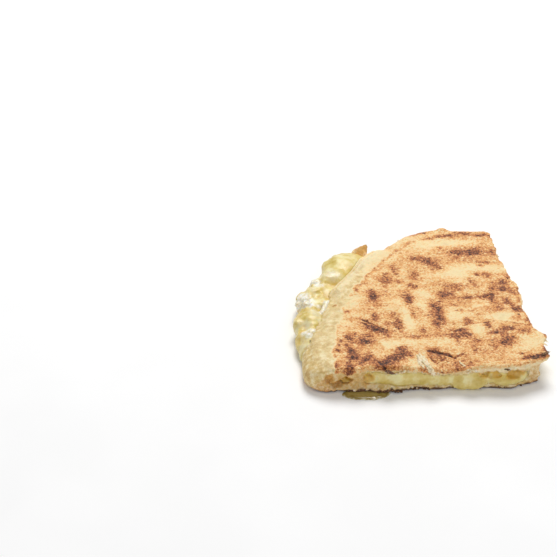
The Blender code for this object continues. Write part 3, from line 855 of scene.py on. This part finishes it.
def patch_distance(x, y, patch):
    """The distance from a patch's centre, 1 at its edge."""
    centre_x, centre_y, half_x, half_y = patch
    return np.hypot((x - centre_x) / half_x, (y - centre_y) / half_y)


def toast_values(points):
    """How toasted the top is over each point, from 0 for raw dough to 1 for char."""
    x, y, _ = points.T
    flat = points * (1.0, 1.0, 0.0)
    wide, middle, fine = (NOISES[n].at(flat, pitch) for n, pitch in ((0, 11.0), (1, 2.4), (2, 1.0)))
    streaks = NOISES[6].at(flat * (0.22, 1.0, 1.0), 1.5) + NOISES[7].at(flat * (0.3, 1.0, 1.0), 4.0)
    torn_side = bump(y - TORN_AT, TORN_SPAN)
    inside = line_distance(x, y, TOAST_END) + (0.7 + 1.2 * torn_side) * middle + 0.6 * torn_side * fine
    blend = 1.2 + 2.2 * torn_side
    rim = RIM_TOAST * smooth_step(y + 0.5 * x, RIM_TOAST_FROM, RIM_TOAST_TO) * (1.0 + 0.4 * wide + 0.25 * middle)
    toast = TOAST_BASE + 0.07 * wide + 0.08 * streaks + 0.03 * middle
    toast = rim + (toast - rim) * smooth_step(inside, -blend, blend)
    for place in PALE_PATCHES:
        away = patch_distance(x, y, place) + 0.30 * middle + 0.15 * fine
        toast = toast * (1.0 - PALE_SHARE * smooth_step(-away, -1.5, -0.6))
    ends = smooth_step(y - SIDE_EDGE_FROM, -4.0, 4.0) * smooth_step(SIDE_EDGE_TO - y, -4.0, 4.0)
    side_edge = smooth_step(x - side_cut(y, 1.0), -2.4, -0.6) * ends
    toast = toast + SIDE_EDGE * side_edge * np.clip(0.4 + 0.9 * middle + 0.6 * fine, 0.0, 1.0)
    fold = (0.26 - 0.22 * torn_side) * bump(inside - 0.5, 0.9) * np.clip(0.7 + 0.9 * middle + 0.5 * fine, 0.0, None)
    toast = toast + fold
    spared = np.ones(len(points))
    for centre_x, centre_y, long, short, strength, *turn in TOAST_MARKS:
        along, across = turned(x, y, centre_x, centre_y, *turn or (0.0,))
        away = np.hypot(along / long, across / short)
        near = away < MARK_REACH
        away = away[near] * (1.0 + 0.20 * middle[near] + 0.18 * fine[near])
        spared[near] *= 1.0 - MARK_WEIGHT * strength / (1.0 + (away / MARK_SPREAD) ** 4)
    for line, half_width, strength in CREASES:
        away = np.abs(line_distance(x, y, line)) + 0.25 * fine
        spared *= 1.0 - strength * smooth_step(-away, -half_width, -0.3 * half_width)
    return 1.0 - (1.0 - toast) * spared


def sampled(field, points):
    """The field at the nearest grid points."""
    place = np.rint((points - GRID_LOW) / GRID_STEP).astype(int)
    place = np.clip(place, 0, np.array(field.shape) - 1)
    return field[tuple(place.T)]


# What the bread is made of, place by place
ROLLED_FROM, ROLLED_TO = 36.0, 44.0  # left of here the toast runs a little way down the front cut
LOW_TOAST = 0.44  # the bottom crust in the cuts
UNDER_TOAST, UNDER_SPOTS = 0.45, 0.42
HORN_TOAST, HORN_GOLD = 0.27, 0.8
SOAK_DEPTH = 3.2
SOAK_RIM_FROM, SOAK_RIM_TO = 15.0, 11.0  # distances in from the rim that the soaking reaches on top
CORNER_GOLD = 0.35
BURNT_HEIGHT, BURNT_MORE, BURNT_AT, BURNT_SPAN = 0.9, 0.5, -66.0, 18.0
# The lip's ridges and its band are painted whiter: pale dough with a painted highlight on top.
LIP_RIDGE_HIGHLIGHTS = ((1.4, 0.9, 1.0), (5.0, 1.3, 0.8))  # of the lip: distance in from its edge, half-width, share
LIP_BAND_HIGHLIGHT, PALE_SHOULDER = 0.35, 0.30


def horn_share(points):
    """1 on the shred's blade, 0 away from it."""
    return smooth_step(-capsule(*points.T, HORN[1], HORN[2], 0.0), -3.0, -2.0)


def soaked_share(points, cheese, on_top, toast, middle, fine):
    """How far the cheese has soaked the bread next to it."""
    x, y, z = points.T
    distance, angle = polar(x, y)
    soaked = smooth_step(0.9 * middle + 0.5 * fine - sampled(cheese, points), -SOAK_DEPTH, -0.3)
    soaked = soaked * (1.0 - horn_share(points))
    soaked = soaked * (1.0 - smooth_step(z, 7.2, 8.8) * smooth_step(x, -40.0, -34.0))
    soaked = soaked * (1.0 - 0.85 * smooth_step(x, WALL_FROM, WALL_TO) * smooth_step(-y, -1.5, 0.0))
    rim = smooth_step(distance - rim_reach(angle), -SOAK_RIM_FROM, -SOAK_RIM_TO) * (1.0 - 0.9 * lip_share(angle))
    soaked = soaked * (1.0 - on_top * (1.0 - rim)) * (1.0 - smooth_step(toast, 0.10, 0.24) * on_top)
    for place in SOAKED:
        away = patch_distance(x, y, place) + 0.5 * middle + 0.3 * fine
        soaked = np.maximum(soaked, 0.8 * smooth_step(-away, -1.3, -0.5) * smooth_step(z, 5.0, 7.0))
    return soaked * (1.0 - recess_shade_share(points))


def pale_and_highlight_share(points, opened, toast, middle, fine):
    """Where the colour goes whitish: the lip's ridges and band, pale dough with a painted highlight on top, the rim's
    shoulder and the crumb under the top crust.
    """
    x, y, z = points.T
    distance, angle = polar(x, y)
    from_lip = lip_reach(angle) - distance
    # painted highlight on the lip's ridges and band, over its pale dough
    lip = sum(share * bump(from_lip - at, wide) for at, wide, share in LIP_RIDGE_HIGHLIGHTS)
    lip = lip + LIP_BAND_HIGHLIGHT * smooth_step(-from_lip, -10.0, -7.0)
    lip = lip_share(angle) * np.clip(lip, 0.0, 1.0) * smooth_step(z, 8.0, 9.5)
    shoulder = PALE_SHOULDER * smooth_step(z, 8.8, 11.0) * smooth_step(-toast, -0.14, -0.05) * (1.0 - opened)
    under_crust = opened * smooth_step(z + 0.8 * middle, 8.0, 9.4) * smooth_step(x, -40.0, -32.0)
    pale = np.maximum(np.maximum(lip, shoulder), under_crust) * (0.75 + 0.25 * fine)
    return pale * (1.0 - horn_share(points))


def bread_attributes(mesh, cheese):
    """Marks what each point of the bread is: toasted skin, opened crumb, soaked, burnt and so on."""
    points = plan_places(mesh)
    x, y, z = points.T
    middle, fine = NOISES[4].at(points, 2.3), NOISES[5].at(points, 1.0)
    from_cuts = inside_cuts(x, y)
    rolled = smooth_step(-x, ROLLED_FROM, ROLLED_TO)
    on_top = smooth_step(rolled + 0.5 * middle + 0.3 * fine - top_height(x, y) + z, -2.0, -0.8)
    opened = smooth_step(-from_cuts, -2.6, -1.6) * (1.0 - on_top)
    low = opened * smooth_step(-z - 0.5 * middle, -2.8, -1.2)
    opened = opened * (1.0 - 0.7 * low)
    under = smooth_step(-z, -0.8, -0.3)
    spots = np.clip(NOISES[4].at(points, 6.5) + 0.6 * middle, -1.0, 1.0)
    toast = np.maximum(toast_values(points) * on_top, under * (UNDER_TOAST + UNDER_SPOTS * spots))
    toast = np.maximum(toast, LOW_TOAST * low)
    toast = np.maximum(toast, horn_share(points) * (HORN_TOAST + 0.06 * middle))
    burnt_to = BURNT_HEIGHT + BURNT_MORE * bump(x - BURNT_AT, BURNT_SPAN) - z + mound(x, y, UNDER_LIFT)
    burnt = smooth_step(burnt_to - 0.6 * middle - 0.5 * fine, -0.3, 0.4) * smooth_step(-from_cuts, -3.0, -1.8)
    gold = CORNER_GOLD * opened * smooth_step(-x, 74.0, 80.0) * smooth_step(y, -9.0, -6.0)
    gold = np.maximum(gold, HORN_GOLD * horn_share(points))
    for name, values in (
        ("toast", toast),
        ("opened", opened),
        ("soaked", soaked_share(points, cheese, on_top, toast, middle, fine)),
        # deep: painted shade in the pits and hollows, with the real gold of the shred and the front corner
        ("deep", np.maximum(recess_shade_share(points), gold)),
        ("pale", pale_and_highlight_share(points, opened, toast, middle, fine)),
        ("burnt", burnt),
    ):
        set_attribute(mesh, name, values)


def recess_shade_share(points):
    """1 inside the pits and hollows of the cut faces, where the colour is darkened to golden brown as painted shade.
    """
    x, y, z = points.T
    middle = NOISES[4].at(points, 2.3)
    deep = np.zeros(len(points))
    for place in (*PITS, *HOLLOWS):
        near = ellipsoid(x, y, z, place) + 0.3 * middle
        deep = np.maximum(deep, smooth_step(-near, -0.9, 0.2))
    return deep


# What the cheese of the burst is like
BURST_EDGE_FROM, BURST_EDGE_TO = 10.0, 4.0  # distances in from the rim
LEAST_DEEP = 0.12
STREAK_PITCH, STREAKS_FROM, STREAKS_TO = 2.9, 44.0, 36.0  # below these angles the burst is streaky


def cheese_attributes(mesh):
    """Marks the white curds, with painted highlights on a lump, the strand and three small curds, and the deeper
    yellow, with painted shade in the hollows and dips.
    """
    points = plan_places(mesh)
    x, y, z = points.T
    middle = NOISES[4].at(points, 2.3)
    white = np.zeros(len(points))
    # White curds; the three small ones at about (-96, 32) are white cheese with painted glints
    for place in CURDS:
        near = ellipsoid(x, y, z, place) + 0.45 * middle
        white = np.maximum(white, 0.9 * smooth_step(-near, -1.4, -0.1))
    # A soft-edged painted highlight on the lump
    near = ellipsoid(x, y, z, PAINTED_HIGHLIGHT_LUMP)
    white = np.maximum(white, 0.85 * smooth_step(-near, -1.6, 0.9))
    near = ellipsoid(x, y, z, MILKY_LUMP) + 0.8 * middle
    white = np.maximum(white, 0.5 * smooth_step(-near, -1.4, 0.4))
    # The strand: pale cheese with a painted highlight along it
    white = np.maximum(white, 0.8 * smooth_step(-capsule(x, y, z, *CHEESE_STRAND), -1.0, -0.1))
    distance, angle = polar(x, y)
    in_burst = smooth_step(distance - rim_reach(angle), -BURST_EDGE_FROM, -BURST_EDGE_TO)
    tint = 0.10 + 0.30 * NOISES[3].at(points, 5.0) + 0.15 * middle
    streaks = NOISES[5].at(points, STREAK_PITCH)
    streaky = in_burst * smooth_step(-np.degrees(angle), -STREAKS_FROM, -STREAKS_TO)
    white = np.maximum(white, 0.25 * streaky * smooth_step(streaks, 0.0, 0.5))
    on_dome = bump(x - DOME_YELLOW[0], 5.0) * bump(y - DOME_YELLOW[1], 6.5)
    # Deeper yellow: painted shade in the cut faces' pits and hollows, a least tint, random tint over the burst and
    # the dome's yellow
    deep = np.maximum(recess_shade_share(points), np.maximum(LEAST_DEEP, in_burst * np.maximum(tint, 0.55 * on_dome)))
    deep = np.maximum(deep, 0.6 * streaky * smooth_step(-streaks, 0.2, 0.6))
    # painted shade in the dips of the burst
    for place in BURST_DIPS:
        near = ellipsoid(x, y, z, place) + 0.5 * middle
        deep = np.maximum(deep, 0.8 * smooth_step(-near, -1.4, 0.2))
    set_attribute(mesh, "white", white)
    set_attribute(mesh, "deep", deep)


class Nodes:
    """Short calls for building a node tree."""

    def __init__(self, name):
        self.material = bpy.data.materials.new(name)
        self.material.use_nodes = True
        self.tree = self.material.node_tree
        self.surface = self.tree.nodes["Principled BSDF"]

    def add(self, kind, **settings):
        node = self.tree.nodes.new(kind)
        for key, value in settings.items():
            setattr(node, key, value)
        return node

    def link(self, source, target):
        self.tree.links.new(source, target)

    def feed(self, socket, value):
        if isinstance(value, bpy.types.NodeSocket):
            self.link(value, socket)
        else:
            socket.default_value = value

    def place(self):
        return self.add("ShaderNodeTexCoord").outputs["Object"]

    def attribute(self, name):
        return self.add("ShaderNodeAttribute", attribute_name=name).outputs["Fac"]

    def noise(self, size_mm, detail=3.0, roughness=0.55, distortion=0.0, stretch=1.0):
        """Noise whose blotches are stretched along x."""
        squeeze = self.add("ShaderNodeVectorMath", operation="MULTIPLY")
        self.link(self.place(), squeeze.inputs[0])
        squeeze.inputs[1].default_value = (1.0 / stretch, 1.0, 1.0)
        node = self.add("ShaderNodeTexNoise")
        self.link(squeeze.outputs[0], node.inputs["Vector"])
        node.inputs["Scale"].default_value = 1.0 / (size_mm * MM)
        node.inputs["Detail"].default_value = detail
        node.inputs["Roughness"].default_value = roughness
        node.inputs["Distortion"].default_value = distortion
        return node.outputs["Fac"]

    def math(self, operation, a, b=0.0, clamp=False):
        node = self.add("ShaderNodeMath", operation=operation, use_clamp=clamp)
        self.feed(node.inputs[0], a)
        self.feed(node.inputs[1], b)
        return node.outputs[0]

    def spread(self, value, low, high, to_low=0.0, to_high=1.0):
        node = self.add("ShaderNodeMapRange")
        self.feed(node.inputs["Value"], value)
        for key, number in (("From Min", low), ("From Max", high), ("To Min", to_low), ("To Max", to_high)):
            node.inputs[key].default_value = number
        return node.outputs["Result"]

    def ramp(self, value, *stops):
        node = self.add("ShaderNodeValToRGB")
        self.feed(node.inputs["Fac"], value)
        elements = node.color_ramp.elements
        for element, (place, colour) in zip(elements, (stops[0], stops[-1])):
            element.position, element.color = place, linear(colour)
        for place, colour in stops[1:-1]:
            elements.new(place).color = linear(colour)
        return node.outputs["Color"]

    def mix(self, share, a, b, blend="MIX"):
        node = self.add("ShaderNodeMix", data_type="RGBA", blend_type=blend)
        self.feed(node.inputs["Factor"], share)
        self.feed(node.inputs["A"], a)
        self.feed(node.inputs["B"], b)
        return node.outputs["Result"]

    def cover(self, colour, name, most, other):
        """The other colour over this one, as far as the attribute says."""
        return self.mix(self.math("MULTIPLY", self.attribute(name), most), colour, other)

    def bump(self, height, depth_mm, below=None):
        node = self.add("ShaderNodeBump")
        self.link(height, node.inputs["Height"])
        node.inputs["Distance"].default_value = depth_mm * MM
        if below is not None:
            self.link(below, node.inputs["Normal"])
        return node.outputs["Normal"]

    def finish(self, colour, roughness, normal, **uniform):
        self.link(colour, self.surface.inputs["Base Color"])
        self.feed(self.surface.inputs["Roughness"], roughness)
        self.link(normal, self.surface.inputs["Normal"])
        for key, value in uniform.items():
            self.surface.inputs[key.replace("_", " ")].default_value = value
        return self.material


def linear(colour):
    """A 0 to 255 display colour as linear light."""
    shares = [c / 255 for c in colour]
    return (*(c / 12.92 if c <= 0.04045 else ((c + 0.055) / 1.055) ** 2.4 for c in shares), 1.0)


TOAST_RAMP = (
    (0.00, (242, 219, 165)),
    (0.09, (249, 226, 174)),
    (0.20, (246, 207, 146)),
    (0.32, (238, 178, 108)),
    (0.48, (213, 138, 76)),
    (0.66, (172, 100, 57)),
    (0.84, (128, 72, 43)),
    (1.00, (64, 36, 24)),
)


def bread_material():
    n = Nodes("toasted_flatbread")
    grain = n.noise(0.80, 4.0, 0.68, stretch=1.2)
    speckle = n.noise(0.95, 4.0, 0.7, distortion=0.5)
    flecks = n.noise(0.9, 2.0, 0.6, distortion=0.8)
    patches = n.noise(2.6, 3.0, 0.6)
    toast = n.attribute("toast")
    uneven = n.math("ADD", n.spread(grain, 0.3, 0.7, -0.27, 0.27), n.spread(patches, 0.3, 0.7, -0.08, 0.08))
    toasted = n.math("ADD", toast, n.math("MULTIPLY", uneven, n.spread(toast, 0.02, 0.30, 0.30, 1.0)))
    specks = n.math("MULTIPLY", n.spread(speckle, 0.3, 0.7, -0.44, 0.44), n.spread(toast, 0.12, 0.55))
    skin = n.ramp(n.math("ADD", toasted, specks), *TOAST_RAMP)
    cream = n.math("MULTIPLY", n.spread(flecks, 0.60, 0.69), n.spread(toast, 0.2, 0.7, 0.7, 0.1))
    skin = n.mix(cream, skin, linear((252, 234, 190)))
    dough = n.ramp(n.noise(2.6, 5.0, 0.68), (0.34, (204, 163, 94)), (0.5, (229, 200, 135)), (0.64, (252, 236, 193)))
    skin = n.mix(n.spread(toast, 0.02, 0.09), dough, skin)
    crumb = n.ramp(n.noise(1.3, 5.0, 0.7), (0.32, (200, 148, 82)), (0.5, (230, 196, 138)), (0.64, (250, 234, 200)))
    colour = n.mix(n.attribute("opened"), skin, crumb)
    soak = n.ramp(n.noise(2.0, 4.0, 0.6), (0.36, (208, 173, 96)), (0.5, (229, 202, 134)), (0.63, (250, 236, 197)))
    colour = n.cover(colour, "soaked", 0.8, soak)
    # Golden brown: the real gold of the shred and the front corner, and painted shade inside the pits and hollows
    gold_and_hollow_shade = n.ramp(grain, (0.35, (198, 138, 52)), (0.65, (234, 186, 96)))
    colour = n.cover(colour, "deep", 0.85, gold_and_hollow_shade)
    # Whitish: pale dough and crumb, and on the lip a painted highlight
    colour = n.cover(colour, "pale", 0.8, linear((254, 238, 196)))
    char = n.ramp(grain, (0.35, (54, 32, 20)), (0.65, (130, 88, 54)))
    colour = n.mix(n.attribute("burnt"), colour, char)
    normal = n.bump(n.noise(0.6, 5.0, 0.7), 0.28, n.bump(n.noise(2.4, 3.0, 0.6), 0.40))
    dry = n.spread(patches, 0.3, 0.7, 0.5, 0.68)
    return n.finish(
        colour,
        n.math("SUBTRACT", dry, n.math("MULTIPLY", n.attribute("soaked"), 0.22)),
        normal,
        Subsurface_Weight=0.12,
        Subsurface_Radius=(1.0, 0.5, 0.25),
        Subsurface_Scale=1.0 * MM,
        Specular_IOR_Level=0.35,
    )


def crumb_material():
    n = Nodes("loose_crumb")
    mottled = n.noise(0.8, 4.0, 0.7)
    colour = n.ramp(mottled, (0.3, (214, 178, 120)), (0.5, (240, 220, 178)), (0.65, (252, 244, 224)))
    return n.finish(colour, 0.7, n.bump(mottled, 0.15), Subsurface_Weight=0.1, Subsurface_Scale=0.6 * MM)


def char_material():
    n = Nodes("charred_crumb")
    mottled = n.noise(0.6, 4.0, 0.7)
    colour = n.ramp(mottled, (0.3, (48, 28, 18)), (0.5, (98, 62, 38)), (0.68, (176, 132, 82)))
    return n.finish(colour, 0.7, n.bump(mottled, 0.15))


def cheese_material():
    n = Nodes("melted_cheese")
    cloudy = n.noise(5.0, 3.0, 0.6)
    curds = n.noise(1.2, 5.0, 0.65)
    body = n.ramp(cloudy, (0.36, (213, 189, 100)), (0.5, (229, 210, 134)), (0.64, (243, 234, 177)))
    # deeper yellow of the burst, and painted shade in the hollows and dips
    body = n.cover(body, "deep", 0.8, linear((222, 176, 72)))
    # Whitish: the curds' white, and painted highlights on the lump, the strand and the small curds
    milk = n.ramp(curds, (0.36, (222, 210, 172)), (0.5, (246, 241, 224)), (0.62, (255, 254, 250)))
    colour = n.mix(n.attribute("white"), body, milk)
    normal = n.bump(curds, 0.12, n.bump(cloudy, 0.3))
    return n.finish(
        colour,
        n.spread(cloudy, 0.3, 0.7, 0.26, 0.46),
        normal,
        Subsurface_Weight=0.3,
        Subsurface_Radius=(1.0, 0.75, 0.35),
        Subsurface_Scale=2.0 * MM,
        Specular_IOR_Level=0.5,
    )


def drip_material():
    n = Nodes("run_out_cheese")
    cloudy = n.noise(2.6, 3.0, 0.6)
    height = n.add("ShaderNodeSeparateXYZ")
    n.link(n.place(), height.inputs[0])
    rise = n.spread(height.outputs["Z"], 0.1 * MM, 1.0 * MM)
    rise = n.math("ADD", rise, n.spread(cloudy, 0.35, 0.65, -0.3, 0.3))
    shore, shallow, middle, top = (246, 240, 220), (212, 194, 140), (156, 130, 58), (190, 166, 92)
    colour = n.ramp(rise, (0.0, shore), (0.22, shallow), (0.5, middle), (1.0, top))
    normal = n.bump(n.noise(2.4, 1.0, 0.5), 0.25)
    return n.finish(
        colour,
        0.14,
        normal,
        Subsurface_Weight=0.3,
        Subsurface_Radius=(1.0, 0.8, 0.4),
        Subsurface_Scale=1.5 * MM,
        Transmission_Weight=0.2,
        Specular_IOR_Level=0.6,
    )


def floor_material():
    n = Nodes("white_paper")
    grain = n.noise(60.0, 2.0)
    colour = n.ramp(grain, (0.4, (253, 253, 253)), (0.6, (255, 255, 255)))
    normal = n.bump(n.noise(4.0, 2.0), 0.01)
    return n.finish(colour, 0.9, normal, Specular_IOR_Level=0.1)


def make_bodies():
    bread, cheese = build_fields(grid_axes())
    for name, field, material, slot_name, node in (
        ("flatbread_crust", bread, bread_material(), "toasted_bread", "flatbread"),
        ("cheese_body", cheese, cheese_material(), "melted_cheese", "cheese_filling"),
    ):
        points, quads = largest_body(*surface_net(field))
        mesh = mesh_from(name, points * GRID_STEP + GRID_LOW, quads)
        piece = new_piece(name, mesh, material, slot_name, node)
        thin_out(piece)
        piece.data.shade_smooth()
        if field is bread:
            bread_attributes(piece.data, cheese)
        else:
            cheese_attributes(piece.data)


def make_drip():
    """The puddle: a low mound with an uneven shore."""
    margin = np.array((2.0, 2.0))
    low = np.array((*(np.array(DRIP_AT) - DRIP_HALF - margin), -0.6))
    high = np.array((*(np.array(DRIP_AT) + DRIP_HALF + margin), DRIP_HEIGHT + 0.9))
    axes = [np.arange(a, b, DRIP_GRID_STEP) for a, b in zip(low, high)]
    x, y, z = np.meshgrid(*axes, indexing="ij", sparse=True)
    run = (x - DRIP_AT[0]) / DRIP_HALF[0]
    shore = np.hypot(run, (y - DRIP_AT[1]) / (DRIP_HALF[1] * (DRIP_MIDDLE + DRIP_SLANT * run)))
    shore = shore * (1.0 + 0.08 * NOISES[6].grid(axes, 4.6) + 0.04 * NOISES[2].grid(axes, 2.0))
    height = DRIP_HEIGHT * np.sqrt(np.clip(1.0 - shore**2, 0.0, None)) ** 0.8
    field = np.maximum((z - height) * 0.8, (shore - 1.0) * DRIP_HALF[1])
    field = np.maximum(field, 0.02 - z)
    points, quads = largest_body(*surface_net(field))
    mesh = mesh_from("cheese_puddle", points * DRIP_GRID_STEP + low, quads)
    piece = new_piece("cheese_puddle", mesh, drip_material(), "melted_cheese", "cheese_drip")
    piece.data.shade_smooth()


# Torn flakes of crust: root, tip and width
PALE_SHREDS = (
    ((-53.4, 6.6, 11.8), (-50.4, -1.8, 11.0), 2.6),
    ((-51.0, -0.4, 11.1), (-49.3, -4.6, 9.0), 2.0),
    ((-54.6, 3.4, 11.6), (-53.0, -1.6, 11.0), 1.2),
    ((-37.4, 0.4, 10.9), (-33.2, -4.5, 10.0), 1.0),
    ((-34.6, -3.2, 9.9), (-32.0, -4.6, 9.7), 1.8),
    ((0.2, 17.0, 10.8), (1.2, 20.0, 9.2), 1.8),
    ((1.0, 13.2, 11.1), (2.6, 11.2, 10.7), 1.2),
    ((0.8, 9.8, 11.0), (2.0, 9.0, 10.4), 0.9),
    ((-0.6, 5.8, 10.8), (0.4, 6.8, 10.2), 1.0),
)
BURNT_SHREDS = (
    ((-68.6, -1.2, 10.6), (-65.6, -2.8, 9.8), 1.9),
    ((-19.8, -5.0, 10.2), (-17.6, -5.7, 9.8), 1.1),
    ((-2.6, 0.6, 11.9), (0.9, 2.6, 11.7), 1.5),
    ((-8.6, -1.6, 11.6), (-4.6, -1.0, 11.8), 1.1),
)
SHRED_THINNESS = 3.4


# Loose crumbs
CRUMB_SEED = 11
CHARRED_FRONT, CHARRED_SIDE = 90, 50
CHARRED_FROM, CHARRED_MOSTLY_TO, CHARRED_TO = -84.0, -48.0, -10.0  # along the front cut
CRUMB_CLUSTERS = (  # middle, spread and count
    ((-33.0, -4.6, 9.6), (2.2, 0.7, 0.8), 9),
    ((-48.6, -3.2, 9.0), (1.6, 0.6, 0.6), 5),
    ((0.5, 19.0, 9.4), (0.4, 2.4, 0.7), 9),
    ((-42.2, 103.0, 8.8), (2.6, 2.6, 0.8), 16),
    ((-60.0, -1.4, 9.6), (10.0, 0.6, 0.8), 14),
    ((-68.0, -1.4, 1.6), (14.0, 0.6, 0.7), 22),
    ((-1.3, 60.0, 9.6), (0.4, 30.0, 0.8), 24),
)


def uneven_ball(bm, divisions, shape, seed, roughness):
    """Adds a ball whose points shape() moves, made uneven by noise."""
    made = bmesh.ops.create_icosphere(bm, subdivisions=divisions, radius=1.0)["verts"]
    for v in made:
        swell = 1.0 + roughness * noise.noise(v.co * 2.1 + Vector((seed, 0.0, 0.0)))
        v.co = (Vector(shape(v.co * swell)) + Vector(APEX)) * MM


def make_shreds():
    for name, shreds, material in (
        ("torn_shreds", PALE_SHREDS, crumb_material()),
        ("burnt_shreds", BURNT_SHREDS, char_material()),
    ):
        bm = bmesh.new()
        for number, (root, tip, width) in enumerate(shreds):
            root, tip = Vector(root), Vector(tip)
            along = (tip - root) / 2
            turn = along.to_track_quat("X", "Z").to_matrix()

            def strip(at):
                half = width / 2 * (1.0 - 0.3 * at.x)
                return root + along + turn @ Vector((at.x * along.length, at.y * half, at.z * half / SHRED_THINNESS))

            uneven_ball(bm, 4, strip, number * 7.3, 0.7)
        finish_bits(name, bm, material)


def finish_bits(name, bm, material):
    mesh = bpy.data.meshes.new(name)
    bm.to_mesh(mesh)
    bm.free()
    mesh.shade_smooth()
    new_piece(name, mesh, material, "toasted_bread")


def add_crumb(bm, rng, centre, size):
    half = size * rng.uniform(0.6, 1.2, 3)
    centre = np.maximum(centre, (-1e3, -1e3, half[2] * 1.35))
    seed = float(rng.uniform(0, 90))
    uneven_ball(bm, 2, lambda at: [c + a * h for c, a, h in zip(centre, at, half)], seed, 0.9)


def make_crumbs():
    """Charred crumbs along the bottom edge of the cuts, and pale ones where the dough is torn."""
    rng = np.random.default_rng(CRUMB_SEED)
    dark = bmesh.new()
    for _ in range(CHARRED_FRONT):
        right_end = CHARRED_TO if rng.random() < 0.3 else CHARRED_MOSTLY_TO
        x = rng.uniform(CHARRED_FROM, right_end)
        y = float(front_cut(np.array([x]), 0.0)[0]) - toe(x) + rng.uniform(-0.5, 0.3)
        add_crumb(dark, rng, (x, y, mound(x, y, UNDER_LIFT) + rng.uniform(0.1, 1.0)), rng.uniform(0.25, 0.6))
    for _ in range(CHARRED_SIDE):
        y = rng.uniform(4.0, 100.0)
        x = float(side_cut(np.array([y]), 0.0)[0]) + rng.uniform(-0.3, 0.4)
        add_crumb(dark, rng, (x, y, rng.uniform(0.1, 1.0)), rng.uniform(0.25, 0.5))
    finish_bits("charred_crumbs", dark, char_material())
    pale = bmesh.new()
    for centre, spread, count in CRUMB_CLUSTERS:
        for _ in range(count):
            place = np.array(centre) + np.array(spread) * rng.uniform(-1.0, 1.0, 3)
            add_crumb(pale, rng, place, rng.uniform(0.25, 0.6))
    finish_bits("pale_crumbs", pale, crumb_material())


# The view: the camera looks at a point of the floor through a long lens
VIEW_AT = np.array((-102.0, 91.8, 0.0))
VIEW_ELEVATION = math.radians(32.0)
VIEW_AZIMUTH = math.radians(-6.8)
VIEW_DISTANCE = 0.7151
LENS_MM, SENSOR_MM = 100.0, 36.0
NEAREST = 0.01

# The studio: places and watts of the lights
KEY_LIGHT = ((0.15, 0.75, 1.15), 14.0)
FILL_LIGHT = ((0.1, -0.85, 0.55), 1.6)
LIGHT_SIZE = 0.7
WORLD_STRENGTH = 0.39
FLOOR_HALF = 3.0


def make_camera():
    camera = add_object("camera", bpy.data.cameras.new("camera"))
    camera.data.lens = LENS_MM
    camera.data.sensor_width = SENSOR_MM
    camera.data.clip_start = NEAREST
    level = math.cos(VIEW_ELEVATION)
    back = Vector((math.sin(VIEW_AZIMUTH) * level, -math.cos(VIEW_AZIMUTH) * level, math.sin(VIEW_ELEVATION)))
    camera.location = Vector((VIEW_AT + APEX) * MM) + back * VIEW_DISTANCE
    camera.rotation_euler = back.to_track_quat("Z", "Y").to_euler()
    bpy.context.scene.camera = camera


def area_light(name, place, watts):
    """A round lamp aimed at the frame's origin."""
    data = bpy.data.lights.new(name, "AREA")
    data.shape = "DISK"
    data.size = LIGHT_SIZE
    data.energy = watts
    light = add_object(name, data)
    light.location = place
    light.rotation_euler = Vector(place).to_track_quat("Z", "Y").to_euler()


def make_studio():
    mesh = bpy.data.meshes.new("floor")
    corners = [(x * FLOOR_HALF, y * FLOOR_HALF, 0.0) for x, y in ((-1, -1), (1, -1), (1, 1), (-1, 1))]
    mesh.from_pydata(corners, [], [(0, 1, 2, 3)])
    floor = add_object("floor", mesh)
    floor.data.materials.append(floor_material())
    world = bpy.data.worlds.new("studio")
    world.use_nodes = True
    world.node_tree.nodes["Background"].inputs["Color"].default_value = (1.0, 1.0, 1.0, 1.0)
    world.node_tree.nodes["Background"].inputs["Strength"].default_value = WORLD_STRENGTH
    bpy.context.scene.world = world
    area_light("key", *KEY_LIGHT)
    area_light("fill", *FILL_LIGHT)
    bpy.context.scene.view_settings.view_transform = "Standard"
    bpy.context.scene.view_settings.look = "None"


make_bodies()
make_drip()
make_shreds()
make_crumbs()
make_studio()
make_camera()
